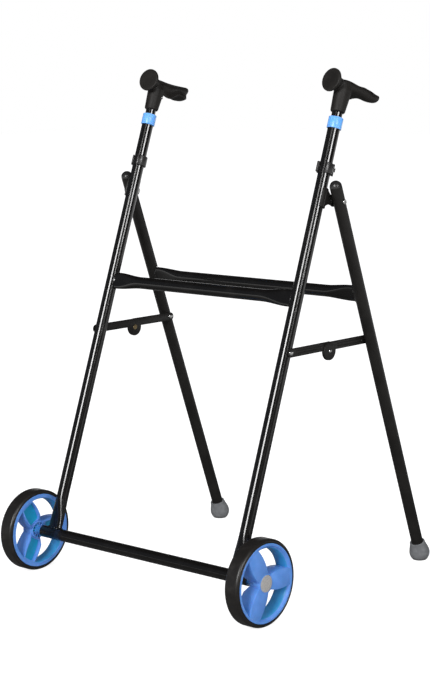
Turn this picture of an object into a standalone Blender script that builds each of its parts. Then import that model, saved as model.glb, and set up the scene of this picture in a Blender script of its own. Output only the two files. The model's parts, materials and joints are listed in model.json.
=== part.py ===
"""Folding walking frame with two front wheels, in metres, +Z up.

The frame stands on the plane z = 0 and faces -Y, with its left side at +X. Two front tubes rise
from an axle tube and carry height-adjustable handles. Two rear legs hang on a hinge near the top
of the front tubes, and a jointed brace on each side holds them open.
"""

import math

import bmesh
import bpy
from mathutils import Matrix, Vector

# Gaps
SEAT_GAP = 0.0003
PIN_GAP = 0.00012
CUT_REACH = 0.004
JOIN_STEP = 0.0004

# Frame tubes
TUBE_D = 0.022
TUBE_WALL = 0.0012
FRONT_X = 0.225
FRONT_LEAN = math.radians(20.3)
LEG_LEAN = math.radians(19.65)
SIDE_PLAY = 0.006
LEG_RISE = 0.028
SQUASH_WIDE = 0.031
SQUASH_THIN = 0.0105
SQUASH_POWER = 3.2
SQUASH_LENGTH = 0.012
SQUASH_BLEND = 0.060
CROSSBAR_S = 0.489
REAR_BAR_DROP = 0.179
TUBE_SIDES = 20
PIN_SIDES = 14
HOLE_SIDES = 8

# Hinge between the front tubes and the rear legs
HINGE_S = 0.6715
HINGE_T = 0.023
PLATE_T = 0.0028
BRACKET_LENGTH = 0.034
EAR_R = 0.0095
WAIST_HALF = 0.0088
WAIST_T = 0.014
SADDLE_FROM = math.radians(-33.0)
SADDLE_TO = math.radians(100.0)
WASHER_T = 0.0006
WASHER_R = 0.0075
HINGE_BOLT_R = 0.003
BOLT_HEAD_R = 0.0046
BOLT_HEAD_T = 0.0022
NUT_R = 0.0058
NUT_T = 0.005

# Folding brace
BRACE_FRONT_S = 0.3931
BRACE_REAR_DROP = 0.2711
BRACE_MID_DROP = 0.0088
LINK_T = 0.0025
LINK_HEIGHT = 0.0155
FRONT_LOBE_R = 0.0168
RIB_WIDTH = 0.005
RIB_DEPTH = 0.001
RIB_END_GAP = 0.007
RIVET_SHANK_R = 0.0025
RIVET_HEAD_R = 0.0048
MID_HEAD_R = 0.0038
RIVET_HEAD_T = 0.0016
TAIL_FLANGE_R = 0.005
TAIL_FLANGE_T = 0.0006

# Wheels
WHEEL_D = 0.152
TYRE_W = 0.030
WHEEL_X = 0.277
TREAD_ABOVE_FLANGE = 0.0072
FLANGE_LIP = 0.0033
FLANGE_T = 0.0025
RIM_WALL = 0.0040
RIM_DRAFT = 0.0015
WEB_RECESS = 0.0025
WEB_T = 0.0030
SPOKE_WALL = 0.0022
SPOKE_POCKET = 0.009
SPOKE_HALF_HUB = 0.0130
SPOKE_HALF_MID = 0.0170
SPOKE_HALF_RING = 0.0145
SPOKES = 3
HUB_R = 0.018
HUB_SETBACK = 0.005
HUB_CLEARING = 0.0035
CAP_R = 0.015
CAP_T = 0.0032
BUSH_R = 0.0070
AXLE_BOLT_R = 0.004
AXLE_HEAD_R = 0.0075
AXLE_HEAD_T = 0.0040
AXLE_PLUG_LENGTH = 0.020
AXLE_STANDOFF = 0.013
WHEEL_SIDES = 36

# Collar, height clip and handle tube
COLLAR_S = 0.8062
COLLAR_D = 0.026
COLLAR_HEIGHT = 0.0206
COLLAR_LIP = 0.0060
CLIP_S = 0.7240
CLIP_HEIGHT = 0.019
CLIP_WALL = 0.0030
CLIP_OPEN_FROM = math.radians(-112.0)
CLIP_OPEN_TO = math.radians(-50.0)
CLIP_TAB_REACH = 0.0020
CLIP_TAB_T = 0.0040
LOCK_ANGLE = math.radians(38.0)
LOCK_HOUSING_R = 0.0158
LOCK_HOUSING_W = 0.012
LOCK_LOBE_DROP = 0.0055
LOCK_PIN_R = 0.0022
LOCK_KNOB_R = 0.0038
LOCK_KNOB_T = 0.0018
HANDLE_WALL = 0.0012
HOLE_PITCH = 0.025
HOLE_STEPS = 5
HANDLE_FOOT = 0.018

# Grip
GRIP_S = 0.8764
GRIP_BOTTOM_S = 0.8256
STEM_R_LOW = 0.0130
STEM_R_TOP = 0.0136
STEM_CHAMFER = 0.0020
GRIP_TOE = math.radians(6.0)
DISC_R = 0.0213
DISC_AHEAD = 0.0343
DISC_EDGE = 0.0052
NECK_R = 0.0095
GRIP_BORE_STOP = 0.0060
SCREW_S = 0.8545
SCREW_R = 0.0027
SCREW_LENGTH = 0.0075
SCREW_ANGLE = math.radians(130.0)

# Rubber foot
FOOT_RIM_R = 0.0145
FOOT_SWELL_R = 0.0192
FOOT_BALL_DROP = 0.60
FOOT_HEIGHT = 0.038
FOOT_SOLE = 0.008

TUBE_R = TUBE_D / 2
BORE_R = TUBE_R - TUBE_WALL
HANDLE_R = BORE_R - SEAT_GAP
LEG_X = FRONT_X + TUBE_D + SIDE_PLAY
WHEEL_R = WHEEL_D / 2
FLANGE_R = WHEEL_R - TREAD_ABOVE_FLANGE
SEAT_R = FLANGE_R - FLANGE_LIP
RING_R_OUT = SEAT_R - RIM_WALL
RING_R_IN = RING_R_OUT - RIM_DRAFT
AXLE = Vector((0.0, 0.0, WHEEL_R))
ALONG = Vector((0.0, math.sin(FRONT_LEAN), math.cos(FRONT_LEAN)))
BEHIND = Vector((0.0, math.cos(FRONT_LEAN), -math.sin(FRONT_LEAN)))
DOWN_LEG = Vector((0.0, math.sin(LEG_LEAN), -math.cos(LEG_LEAN)))
BEHIND_LEG = Vector((0.0, math.cos(LEG_LEAN), math.sin(LEG_LEAN)))
OUTWARD = Vector((1.0, 0.0, 0.0))
SIDES = (("left", 1), ("right", -1))


def on_front(s, t=0.0, x=0.0):
    """A point s along the front tube from the axle, t behind the tube's axis and x out from the middle."""
    return AXLE + ALONG * s + BEHIND * t + OUTWARD * x


PIVOT = on_front(HINGE_S, HINGE_T)
LEG_TO_FLOOR = PIVOT.z / math.cos(LEG_LEAN)
BRACE_FRONT = on_front(BRACE_FRONT_S)


def on_leg(down, t=0.0, x=0.0):
    """A point down the leg from the hinge, t behind the leg's axis."""
    return PIVOT + DOWN_LEG * down + BEHIND_LEG * t + OUTWARD * x


BRACE_REAR = on_leg(BRACE_REAR_DROP)
BRACE_ALONG = (BRACE_REAR - BRACE_FRONT).normalized()
BRACE_UP = Vector((0.0, -BRACE_ALONG.z, BRACE_ALONG.y))
BRACE_MID = (BRACE_FRONT + BRACE_REAR) / 2 - BRACE_UP * BRACE_MID_DROP

# The links and the hinge plate share the play between tube and leg, from the tube outwards.
TUBE_FACE = FRONT_X + TUBE_R
LEG_FACE = LEG_X - TUBE_R
FRONT_LINK_X = TUBE_FACE + SEAT_GAP
REAR_LINK_X = FRONT_LINK_X + LINK_T + SEAT_GAP
WASHER_X = LEG_FACE - SEAT_GAP - WASHER_T
PLATE_X = WASHER_X - SEAT_GAP - PLATE_T
WHEEL_IN = WHEEL_X - TYRE_W / 2
WHEEL_OUT = WHEEL_X + TYRE_W / 2
HUB_IN = WHEEL_IN + HUB_SETBACK
AXLE_END = HUB_IN - AXLE_STANDOFF


def frame_of(origin, z_axis, x_hint=OUTWARD):
    """The matrix that puts local Z along z_axis and local X near x_hint."""
    z = z_axis.normalized()
    x = (x_hint - z * x_hint.dot(z)).normalized()
    y = z.cross(x)
    return Matrix.Translation(origin) @ Matrix((x, y, z)).transposed().to_4x4()


def across(x, centre):
    """A frame on the point's own line across the walker, with local Z outwards and local X forwards."""
    return frame_of(Vector((x, centre.y, centre.z)), OUTWARD, Vector((0.0, -1.0, 0.0)))


# Materials


def material(name, colour, roughness, metallic=0.0):
    made = bpy.data.materials.new(name)
    made.use_nodes = True
    shader = made.node_tree.nodes["Principled BSDF"]
    shader.inputs["Base Color"].default_value = (*colour, 1.0)
    shader.inputs["Roughness"].default_value = roughness
    shader.inputs["Metallic"].default_value = metallic
    made.diffuse_color = (*colour, 1.0)
    return made


def make_materials():
    return {
        "gloss_black": material("gloss_black", (0.008, 0.008, 0.009), 0.14),
        "satin_black": material("satin_black", (0.022, 0.021, 0.021), 0.38),
        "blue_rim": material("blue_rim", (0.055, 0.24, 0.66), 0.36),
        "blue_collar": material("blue_collar", (0.11, 0.44, 0.93), 0.32),
        "black_rubber": material("black_rubber", (0.014, 0.013, 0.012), 0.5),
        "grip_rubber": material("grip_rubber", (0.021, 0.019, 0.018), 0.58),
        "grey_rubber": material("grey_rubber", (0.135, 0.140, 0.145), 0.7),
        "grey_cap": material("grey_cap", (0.36, 0.36, 0.35), 0.5),
        "black_plastic": material("black_plastic", (0.018, 0.017, 0.017), 0.45),
        "zinc": material("zinc", (0.62, 0.62, 0.60), 0.28, 1.0),
        "steel": material("steel", (0.55, 0.56, 0.57), 0.35, 1.0),
        "dull_brass": material("dull_brass", (0.30, 0.23, 0.12), 0.45, 1.0),
        "bush_nylon": material("bush_nylon", (0.05, 0.20, 0.52), 0.5),
    }


# Mesh helpers


def ring_points(half_x, half_y, height, sides, power=2.0):
    """Points round a superellipse; a power of 2 is an ellipse and a higher one is squarer."""
    points = []
    for index in range(sides):
        angle = 2 * math.pi * (index + 0.5) / sides
        c, s = math.cos(angle), math.sin(angle)
        x = half_x * math.copysign(abs(c) ** (2 / power), c)
        y = half_y * math.copysign(abs(s) ** (2 / power), s)
        points.append(Vector((x, y, height)))
    return points


def skin(rings, closed=False):
    """A bmesh with quads from ring to ring, capped at its two ends or closed on itself."""
    bm = bmesh.new()
    loops = [[bm.verts.new(point) for point in points] for points in rings]
    pairs = list(zip(loops, loops[1:]))
    if closed:
        pairs.append((loops[-1], loops[0]))
    for first, second in pairs:
        for index, vert in enumerate(first):
            bm.faces.new((first[index - 1], vert, second[index], second[index - 1]))
    if not closed:
        bm.faces.new(loops[0])
        bm.faces.new(loops[-1])
    bmesh.ops.recalc_face_normals(bm, faces=bm.faces)
    return bm


def turned(profile, sides, closed=False):
    """A profile of (radius, height) points turned about local Z; a closed one makes a ring."""
    bm = bmesh.new()
    verts = [bm.verts.new((radius, 0.0, height)) for radius, height in profile]
    ends = verts[1:] + verts[:1] if closed else verts[1:]
    edges = [bm.edges.new(pair) for pair in zip(verts, ends)]
    bmesh.ops.spin(
        bm,
        geom=verts + edges,
        cent=(0, 0, 0),
        axis=(0, 0, 1),
        angle=2 * math.pi,
        steps=sides,
        use_merge=True,
    )
    bmesh.ops.remove_doubles(bm, verts=bm.verts, dist=1e-6)
    bmesh.ops.recalc_face_normals(bm, faces=bm.faces)
    return bm


def rod(radius, low, high, sides=PIN_SIDES):
    return turned([(0, low), (radius, low), (radius, high), (0, high)], sides)


def washer(bore, radius, low, high, sides=PIN_SIDES):
    return turned([(bore, low), (radius, low), (radius, high), (bore, high)], sides, closed=True)


def prism(outline, low, high):
    """A flat outline of (x, y) points extruded along local Z."""
    bm = bmesh.new()
    face = bm.faces.new([bm.verts.new((x, y, low)) for x, y in outline])
    top = bmesh.ops.extrude_face_region(bm, geom=[face])["geom"]
    top_verts = [item for item in top if isinstance(item, bmesh.types.BMVert)]
    bmesh.ops.translate(bm, vec=(0, 0, high - low), verts=top_verts)
    bmesh.ops.recalc_face_normals(bm, faces=bm.faces)
    return bm


def block(size, centre):
    bm = bmesh.new()
    bmesh.ops.create_cube(bm, size=1.0)
    bmesh.ops.scale(bm, vec=size, verts=bm.verts)
    bmesh.ops.translate(bm, vec=centre, verts=bm.verts)
    return bm


def arc(centre, radius, start, end, steps):
    """Points of (x, y) on an arc from start to end."""
    angles = [start + (end - start) * step / steps for step in range(steps + 1)]
    return [(centre[0] + radius * math.cos(a), centre[1] + radius * math.sin(a)) for a in angles]


def moved(bm, matrix):
    bmesh.ops.transform(bm, matrix=matrix, verts=bm.verts)
    return bm


def joined(*parts):
    """Several bmeshes that don't meet, as one, for a cutter."""
    whole = bmesh.new()
    for part in parts:
        mesh = bpy.data.meshes.new("joined")
        part.to_mesh(mesh)
        part.free()
        whole.from_mesh(mesh)
        bpy.data.meshes.remove(mesh)
    return whole


class Walker:
    """Makes the objects: each is built for the left side and mirrored for the right."""

    def __init__(self):
        self.materials = make_materials()
        self.base = bpy.data.objects.new("walker_origin", None)
        bpy.context.scene.collection.objects.link(self.base)

    def put(self, name, bm, side=1, pivot=AXLE):
        """The object of a bmesh in walker coordinates, with its own origin on the pivot."""
        if side < 0:
            bmesh.ops.scale(bm, vec=(-1, 1, 1), verts=bm.verts)
            bmesh.ops.reverse_faces(bm, faces=bm.faces)
        place = Vector((pivot.x * side, pivot.y, pivot.z))
        bmesh.ops.translate(bm, vec=-place, verts=bm.verts)
        mesh = bpy.data.meshes.new(name)
        bm.to_mesh(mesh)
        bm.free()
        made = bpy.data.objects.new(name, mesh)
        bpy.context.scene.collection.objects.link(made)
        made.parent = self.base
        made.location = place
        return made

    def piece(self, name, bm, look, side=1, pivot=AXLE, sharp=35.0):
        made = self.put(name, bm, side, pivot)
        made.data.materials.append(self.materials[look])
        made.data.shade_smooth()
        made.data.set_sharp_from_angle(angle=math.radians(sharp))
        return made

    def cut(self, target, bm, side=1, operation="DIFFERENCE"):
        """Cuts a bmesh from the target, or joins it on, with a live Boolean."""
        tool = self.put(f"{target.name}_tool", bm, side)
        tool.hide_render = True
        tool.display_type = "WIRE"
        modifier = target.modifiers.new(operation.title(), "BOOLEAN")
        modifier.operation = operation
        modifier.object = tool

    def join(self, target, bm, side=1):
        self.cut(target, bm, side, "UNION")

    def stand_on_origin(self):
        """Moves the whole walker so that the middle of its footprint is at the origin."""
        bpy.context.view_layer.update()
        corners = []
        for made in bpy.context.scene.objects:
            if made.type == "MESH" and not made.hide_render:
                corners += [made.matrix_world @ vert.co for vert in made.data.vertices]
        low, high = (pick(corner.y for corner in corners) for pick in (min, max))
        self.base.location.y = -(low + high) / 2


# Tubes


def squashed_tube(low, high, squash_low, squash_high, wide_x):
    """A tube along local Z whose chosen ends are pressed flat, wide along local X or local Y."""
    flat = SQUASH_WIDE / 2, SQUASH_THIN / 2
    stations = []
    for end, into, squash in ((low, 1, squash_low), (high, -1, squash_high)):
        if not squash:
            stations.append((end, 0.0))
            continue
        stations.append((end, 1.0))
        stations.append((end + into * SQUASH_LENGTH, 1.0))
        for part in (1 / 3, 2 / 3, 1):
            fade = (1 + math.cos(math.pi * part)) / 2
            stations.append((end + into * (SQUASH_LENGTH + SQUASH_BLEND * part), fade))
    stations.sort()
    skins = []
    for wall in (0.0, TUBE_WALL):
        rings = []
        for height, amount in stations:
            wide = TUBE_R + (flat[0] - TUBE_R) * amount - wall
            thin = TUBE_R + (flat[1] - TUBE_R) * amount - wall
            power = 2 + (SQUASH_POWER - 2) * amount
            halves = (wide, thin) if wide_x else (thin, wide)
            rings.append(ring_points(*halves, height, TUBE_SIDES, power))
        skins.append(rings)
    outer, inner = skins
    return skin(outer + inner[::-1], closed=True)


def build_front_tubes(walker):
    tube_top = COLLAR_S + COLLAR_HEIGHT / 2 - COLLAR_LIP - SEAT_GAP
    for name, side in SIDES:
        bm = squashed_tube(TUBE_R * 0.3, tube_top, True, False, wide_x=True)
        moved(bm, frame_of(on_front(0, 0, FRONT_X), ALONG))
        tube = walker.piece(f"front_tube_{name}", bm, "gloss_black", side)
        axle_cope = moved(rod(TUBE_R + SEAT_GAP, 0, 2 * FRONT_X, TUBE_SIDES), across(0, AXLE))
        walker.cut(tube, axle_cope, side)
        hole = rod(RIVET_SHANK_R + PIN_GAP, 0, TUBE_WALL + CUT_REACH)
        walker.cut(tube, moved(hole, across(TUBE_FACE - TUBE_WALL - CUT_REACH / 2, BRACE_FRONT)), side)
        pin_hole = rod(LOCK_PIN_R + PIN_GAP, TUBE_R - TUBE_WALL - CUT_REACH, TUBE_R + CUT_REACH)
        walker.cut(tube, moved(pin_hole, lock_frame()), side)


def build_axle_tube(walker):
    bm = washer(BORE_R, TUBE_R, -AXLE_END, AXLE_END, TUBE_SIDES)
    walker.piece("axle_tube", moved(bm, across(0, AXLE)), "gloss_black")


def build_crossbars(walker):
    bars = (
        ("front_crossbar", FRONT_X, on_front(CROSSBAR_S), ALONG, AXLE),
        ("rear_crossbar", LEG_X, on_leg(REAR_BAR_DROP), -DOWN_LEG, PIVOT),
    )
    for name, half, centre, upright, pivot in bars:
        reach = half - TUBE_R * 0.5
        bm = squashed_tube(-reach, reach, True, True, wide_x=True)
        bar = walker.piece(name, moved(bm, frame_of(centre, OUTWARD, upright)), "gloss_black", 1, pivot)
        for side in (1, -1):
            post = rod(TUBE_R + SEAT_GAP, -SQUASH_WIDE, SQUASH_WIDE, TUBE_SIDES)
            walker.cut(bar, moved(post, frame_of(centre + OUTWARD * half * side, upright)))


def build_rear_legs(walker):
    leg_end = LEG_TO_FLOOR - FOOT_SOLE - SEAT_GAP
    for name, side in SIDES:
        frame = frame_of(on_leg(0, 0, LEG_X), DOWN_LEG)
        tube = washer(BORE_R, TUBE_R, -LEG_RISE, leg_end, TUBE_SIDES)
        leg = walker.piece(f"rear_leg_{name}", moved(tube, frame), "satin_black", side, PIVOT)
        bolt_hole = rod(HINGE_BOLT_R + PIN_GAP, -TUBE_D, TUBE_D)
        walker.cut(leg, moved(bolt_hole, across(LEG_X, PIVOT)), side)
        rivet_hole = rod(RIVET_SHANK_R + PIN_GAP, -CUT_REACH, TUBE_WALL + CUT_REACH / 2)
        walker.cut(leg, moved(rivet_hole, across(LEG_FACE, BRACE_REAR)), side)

        bends = [math.radians(degrees) for degrees in (0, 22, 44, 66, 90)]
        dome = [(TUBE_R * math.sin(bend), -TUBE_R * math.cos(bend)) for bend in bends]
        plug = BORE_R - SEAT_GAP
        profile = dome + [(plug, 0.0), (plug, 0.009), (plug - 0.001, 0.010), (0.0, 0.010)]
        cap = moved(turned(profile, TUBE_SIDES), frame @ Matrix.Translation((0, 0, -LEG_RISE - SEAT_GAP)))
        walker.piece(f"leg_cap_{name}", cap, "black_plastic", side, PIVOT)


def build_ferrules(walker):
    top = LEG_TO_FLOOR - FOOT_HEIGHT
    bore = TUBE_R + SEAT_GAP
    ball = FOOT_HEIGHT * FOOT_BALL_DROP
    swell = [(0.08, 0.05), (0.22, 0.30), (0.40, 0.74)]
    floor = FOOT_HEIGHT - FOOT_SOLE
    profile = [(0.0, floor), (bore, floor), (bore, 0.0), (FOOT_RIM_R - 0.0006, 0.0), (FOOT_RIM_R, 0.0006)]
    profile += [(FOOT_RIM_R + (FOOT_SWELL_R - FOOT_RIM_R) * out, FOOT_HEIGHT * down) for down, out in swell]
    for degrees in (0, 20, 38, 54, 70, 90):
        bend = math.radians(degrees)
        profile.append((FOOT_SWELL_R * math.cos(bend), ball + FOOT_SWELL_R * math.sin(bend)))
    profile[-1] = (0.0, ball + FOOT_SWELL_R)
    for name, side in SIDES:
        bm = moved(turned(profile, TUBE_SIDES), frame_of(on_leg(top, 0, LEG_X), DOWN_LEG))
        ferrule = walker.piece(f"ferrule_{name}", bm, "grey_rubber", side, PIVOT)
        foot = on_leg(LEG_TO_FLOOR, 0, LEG_X)
        ground = 4 * FOOT_SWELL_R
        below = block((ground, ground, FOOT_HEIGHT), (foot.x, foot.y, -FOOT_HEIGHT / 2))
        walker.cut(ferrule, below, side)


# Hinge


def build_hinges(walker):
    tube_frame = frame_of(on_front(HINGE_S, 0, FRONT_X), ALONG)
    outer_r = TUBE_R + SEAT_GAP + PLATE_T
    half = BRACKET_LENGTH / 2
    root_half = half - JOIN_STEP
    edge = []
    for step in range(9):
        t = WAIST_T * step / 8
        edge.append((t, root_half - (root_half - WAIST_HALF) * math.sin(math.pi / 2 * step / 8)))
    corner = math.asin(WAIST_HALF / EAR_R)
    ear = arc((HINGE_T, 0), EAR_R, math.pi - corner, corner - math.pi, 18)
    root = -PLATE_T / 2
    outline = [(root, -edge[0][1]), (root, edge[0][1])] + edge + ear + [(t, -h) for t, h in reversed(edge)]
    plate_frame = Matrix.Translation(Vector((PLATE_X, *on_front(HINGE_S).yz))) @ Matrix(
        ((0, 0, 1), (BEHIND.y, ALONG.y, 0), (BEHIND.z, ALONG.z, 0))
    ).to_4x4()

    for name, side in SIDES:
        wrap = arc((0, 0), outer_r, SADDLE_FROM, SADDLE_TO, 14)
        wrap += arc((0, 0), TUBE_R * 0.9, SADDLE_TO, SADDLE_FROM, 14)
        saddle = prism(wrap, -half, half)
        bracket = walker.piece(f"hinge_bracket_{name}", moved(saddle, tube_frame), "satin_black", side)
        walker.join(bracket, moved(prism(outline, 0, PLATE_T), plate_frame), side)
        core = rod(TUBE_R + SEAT_GAP, -BRACKET_LENGTH, BRACKET_LENGTH, TUBE_SIDES)
        walker.cut(bracket, moved(core, tube_frame), side)
        bolt_hole = rod(HINGE_BOLT_R + PIN_GAP, -CUT_REACH, PLATE_T + CUT_REACH)
        walker.cut(bracket, moved(bolt_hole, across(PLATE_X, PIVOT)), side)

        ring = washer(HINGE_BOLT_R + PIN_GAP, WASHER_R, 0, WASHER_T)
        walker.piece(f"hinge_washer_{name}", moved(ring, across(WASHER_X, PIVOT)), "zinc", side, PIVOT)

        nut_x = PLATE_X - SEAT_GAP - NUT_T
        head_x = LEG_X + TUBE_R + SEAT_GAP
        crown = BOLT_HEAD_R * 0.7
        shaft_end = nut_x - 0.0012
        profile = [
            (0, shaft_end),
            (HINGE_BOLT_R - 0.0004, shaft_end),
            (HINGE_BOLT_R, shaft_end + 0.0004),
            (HINGE_BOLT_R, head_x),
            (BOLT_HEAD_R, head_x),
            (BOLT_HEAD_R, head_x + BOLT_HEAD_T * 0.55),
            (crown, head_x + BOLT_HEAD_T),
            (0, head_x + BOLT_HEAD_T),
        ]
        bolt = moved(turned(profile, PIN_SIDES), across(0, PIVOT))
        walker.piece(f"hinge_bolt_{name}", bolt, "zinc", side, PIVOT)
        nut_frame = across(nut_x, PIVOT)
        nut = moved(washer(HINGE_BOLT_R + PIN_GAP, NUT_R, 0, NUT_T, 6), nut_frame)
        nut_piece = walker.piece(f"hinge_nut_{name}", nut, "zinc", side, PIVOT)
        bore = rod(HINGE_BOLT_R + PIN_GAP, -CUT_REACH, NUT_T + CUT_REACH)
        walker.cut(nut_piece, moved(bore, nut_frame), side)


# Brace


def link_outline(length, lobe_r):
    """A link's outline: its first pin at the origin, its far pin lower and inside a round lobe."""
    half = LINK_HEIGHT / 2
    drop = BRACE_MID_DROP
    start = math.atan2(half + drop, -math.sqrt(max(lobe_r**2 - (half + drop) ** 2, 0.0)))
    end = math.atan2(drop - half, -math.sqrt(lobe_r**2 - (drop - half) ** 2)) - 2 * math.pi
    near_end = arc((0, 0), half, math.pi * 1.5, math.pi * 0.5, 10)
    lobe = arc((length, -drop), lobe_r, start, end, 24)
    return near_end + lobe


def link_frame(pin, x, backwards):
    """Local X runs from the pin towards the brace's middle, local Y up and local Z across the walker."""
    along = -BRACE_ALONG if backwards else BRACE_ALONG
    across_axis = along.cross(BRACE_UP)
    turn = Matrix((along, BRACE_UP, across_axis)).transposed().to_4x4()
    return Matrix.Translation(Vector((x, pin.y, pin.z))) @ turn


def build_braces(walker):
    half_length = (BRACE_REAR - BRACE_FRONT).length / 2
    rear_lobe_r = LINK_HEIGHT / 2 + BRACE_MID_DROP
    hole_r = RIVET_SHANK_R + PIN_GAP
    links = (
        ("brace_front_link", BRACE_FRONT, FRONT_LINK_X, False, FRONT_LOBE_R),
        ("brace_rear_link", BRACE_REAR, REAR_LINK_X, True, rear_lobe_r),
    )
    for name, side in SIDES:
        for link, pin, x, backwards, lobe_r in links:
            frame = link_frame(pin, x + LINK_T / 2, backwards)
            flat = prism(link_outline(half_length, lobe_r), -LINK_T / 2, LINK_T / 2)
            made = walker.piece(f"{link}_{name}", moved(flat, frame), "satin_black", side, pin)
            for centre in (pin, BRACE_MID):
                hole = rod(hole_r, -CUT_REACH, LINK_T + CUT_REACH)
                walker.cut(made, moved(hole, across(x, centre)), side)
            rib_from = LINK_HEIGHT / 2 + RIB_END_GAP
            rib_to = half_length - lobe_r - RIB_END_GAP
            rib = arc((rib_from, 0), RIB_WIDTH / 2, math.pi * 1.5, math.pi * 0.5, 8)
            rib += arc((rib_to, 0), RIB_WIDTH / 2, math.pi * 0.5, -math.pi * 0.5, 8)
            outer_face = LINK_T / 2 if not backwards else -LINK_T / 2
            low, high = sorted((outer_face - math.copysign(RIB_DEPTH, outer_face), outer_face * 3))
            walker.cut(made, moved(prism(rib, low, high), frame), side)

        outer = FRONT_LINK_X + LINK_T + SEAT_GAP
        inside = TUBE_FACE - TUBE_WALL - 0.0004
        walker.piece(
            f"brace_front_rivet_{name}",
            moved(rivet(outer, inside), across(0, BRACE_FRONT)),
            "zinc",
            side,
            BRACE_FRONT,
        )
        walker.piece(
            f"brace_rear_rivet_{name}",
            moved(rivet(REAR_LINK_X - SEAT_GAP, LEG_FACE + TUBE_WALL + 0.0004), across(0, BRACE_REAR)),
            "zinc",
            side,
            PIVOT,
        )
        middle = rivet(REAR_LINK_X + LINK_T + SEAT_GAP, REAR_LINK_X + SEAT_GAP, MID_HEAD_R)
        walker.piece(
            f"brace_mid_rivet_{name}",
            moved(middle, across(0, BRACE_MID)),
            "zinc",
            side,
            BRACE_REAR,
        )
        tail = turned(
            [
                (0, FRONT_LINK_X - SEAT_GAP - TAIL_FLANGE_T / 2),
                (TAIL_FLANGE_R, FRONT_LINK_X - SEAT_GAP - TAIL_FLANGE_T / 2),
                (TAIL_FLANGE_R, FRONT_LINK_X - SEAT_GAP / 2),
                (RIVET_SHANK_R, FRONT_LINK_X - SEAT_GAP / 2),
                (RIVET_SHANK_R, FRONT_LINK_X + LINK_T - SEAT_GAP),
                (0, FRONT_LINK_X + LINK_T - SEAT_GAP),
            ],
            PIN_SIDES,
        )
        tail = moved(tail, across(0, BRACE_MID))
        walker.piece(f"brace_mid_tail_{name}", tail, "dull_brass", side, BRACE_FRONT)


def rivet(seat, tip, head_r=RIVET_HEAD_R):
    """A domed rivet along local Z whose head starts at the seat and whose shank runs to the tip."""
    out = math.copysign(1, seat - tip)
    profile = [(0, tip), (RIVET_SHANK_R, tip), (RIVET_SHANK_R, seat), (head_r, seat)]
    for degrees in (20, 55, 90):
        angle = math.radians(degrees)
        profile.append((head_r * math.cos(angle), seat + out * RIVET_HEAD_T * math.sin(angle)))
    profile[-1] = (0, seat + out * RIVET_HEAD_T)
    return turned(profile, PIN_SIDES)


# Wheels


def spoke_half(radius):
    """Half the width of a spoke at a distance from the axle: widest at mid length."""
    part = (radius - HUB_R) / (RING_R_OUT - HUB_R)
    ends = SPOKE_HALF_HUB * (1 - part) + SPOKE_HALF_RING * part
    middle = (SPOKE_HALF_HUB + SPOKE_HALF_RING) / 2
    return ends + (SPOKE_HALF_MID - middle) * 4 * part * (1 - part)


def edge_points(inner_r, outer_r, inset, steps):
    """Radius and angle from the spoke's middle, along its edge, set in by a wall."""
    radii = [inner_r + (outer_r - inner_r) * step / steps for step in range(steps + 1)]
    return [(radius, math.asin((spoke_half(radius) - inset) / radius)) for radius in radii]


def window(index):
    """The opening between two spokes, in the wheel's plane."""
    turn = 2 * math.pi / SPOKES
    start = index * turn
    edge = edge_points(HUB_R + 0.001, RING_R_IN, 0.0, 5)
    points = [(radius * math.cos(start + a), radius * math.sin(start + a)) for radius, a in edge]
    last = edge[-1][1]
    points += arc((0, 0), RING_R_IN, start + last, start + turn - last, 8)[1:-1]
    for radius, a in edge[::-1]:
        points.append((radius * math.cos(start + turn - a), radius * math.sin(start + turn - a)))
    return points


def pocket(index):
    """The hollow behind a spoke's face, inside its two side walls."""
    start = index * 2 * math.pi / SPOKES
    edge = edge_points(HUB_R + HUB_CLEARING + SPOKE_WALL, RING_R_IN - 0.0005, SPOKE_WALL, 4)
    points = [(radius * math.cos(start - a), radius * math.sin(start - a)) for radius, a in edge]
    last = edge[-1][1]
    points += arc((0, 0), edge[-1][0], start - last, start + last, 3)[1:-1]
    points += [(radius * math.cos(start + a), radius * math.sin(start + a)) for radius, a in edge[::-1]]
    return points


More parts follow.
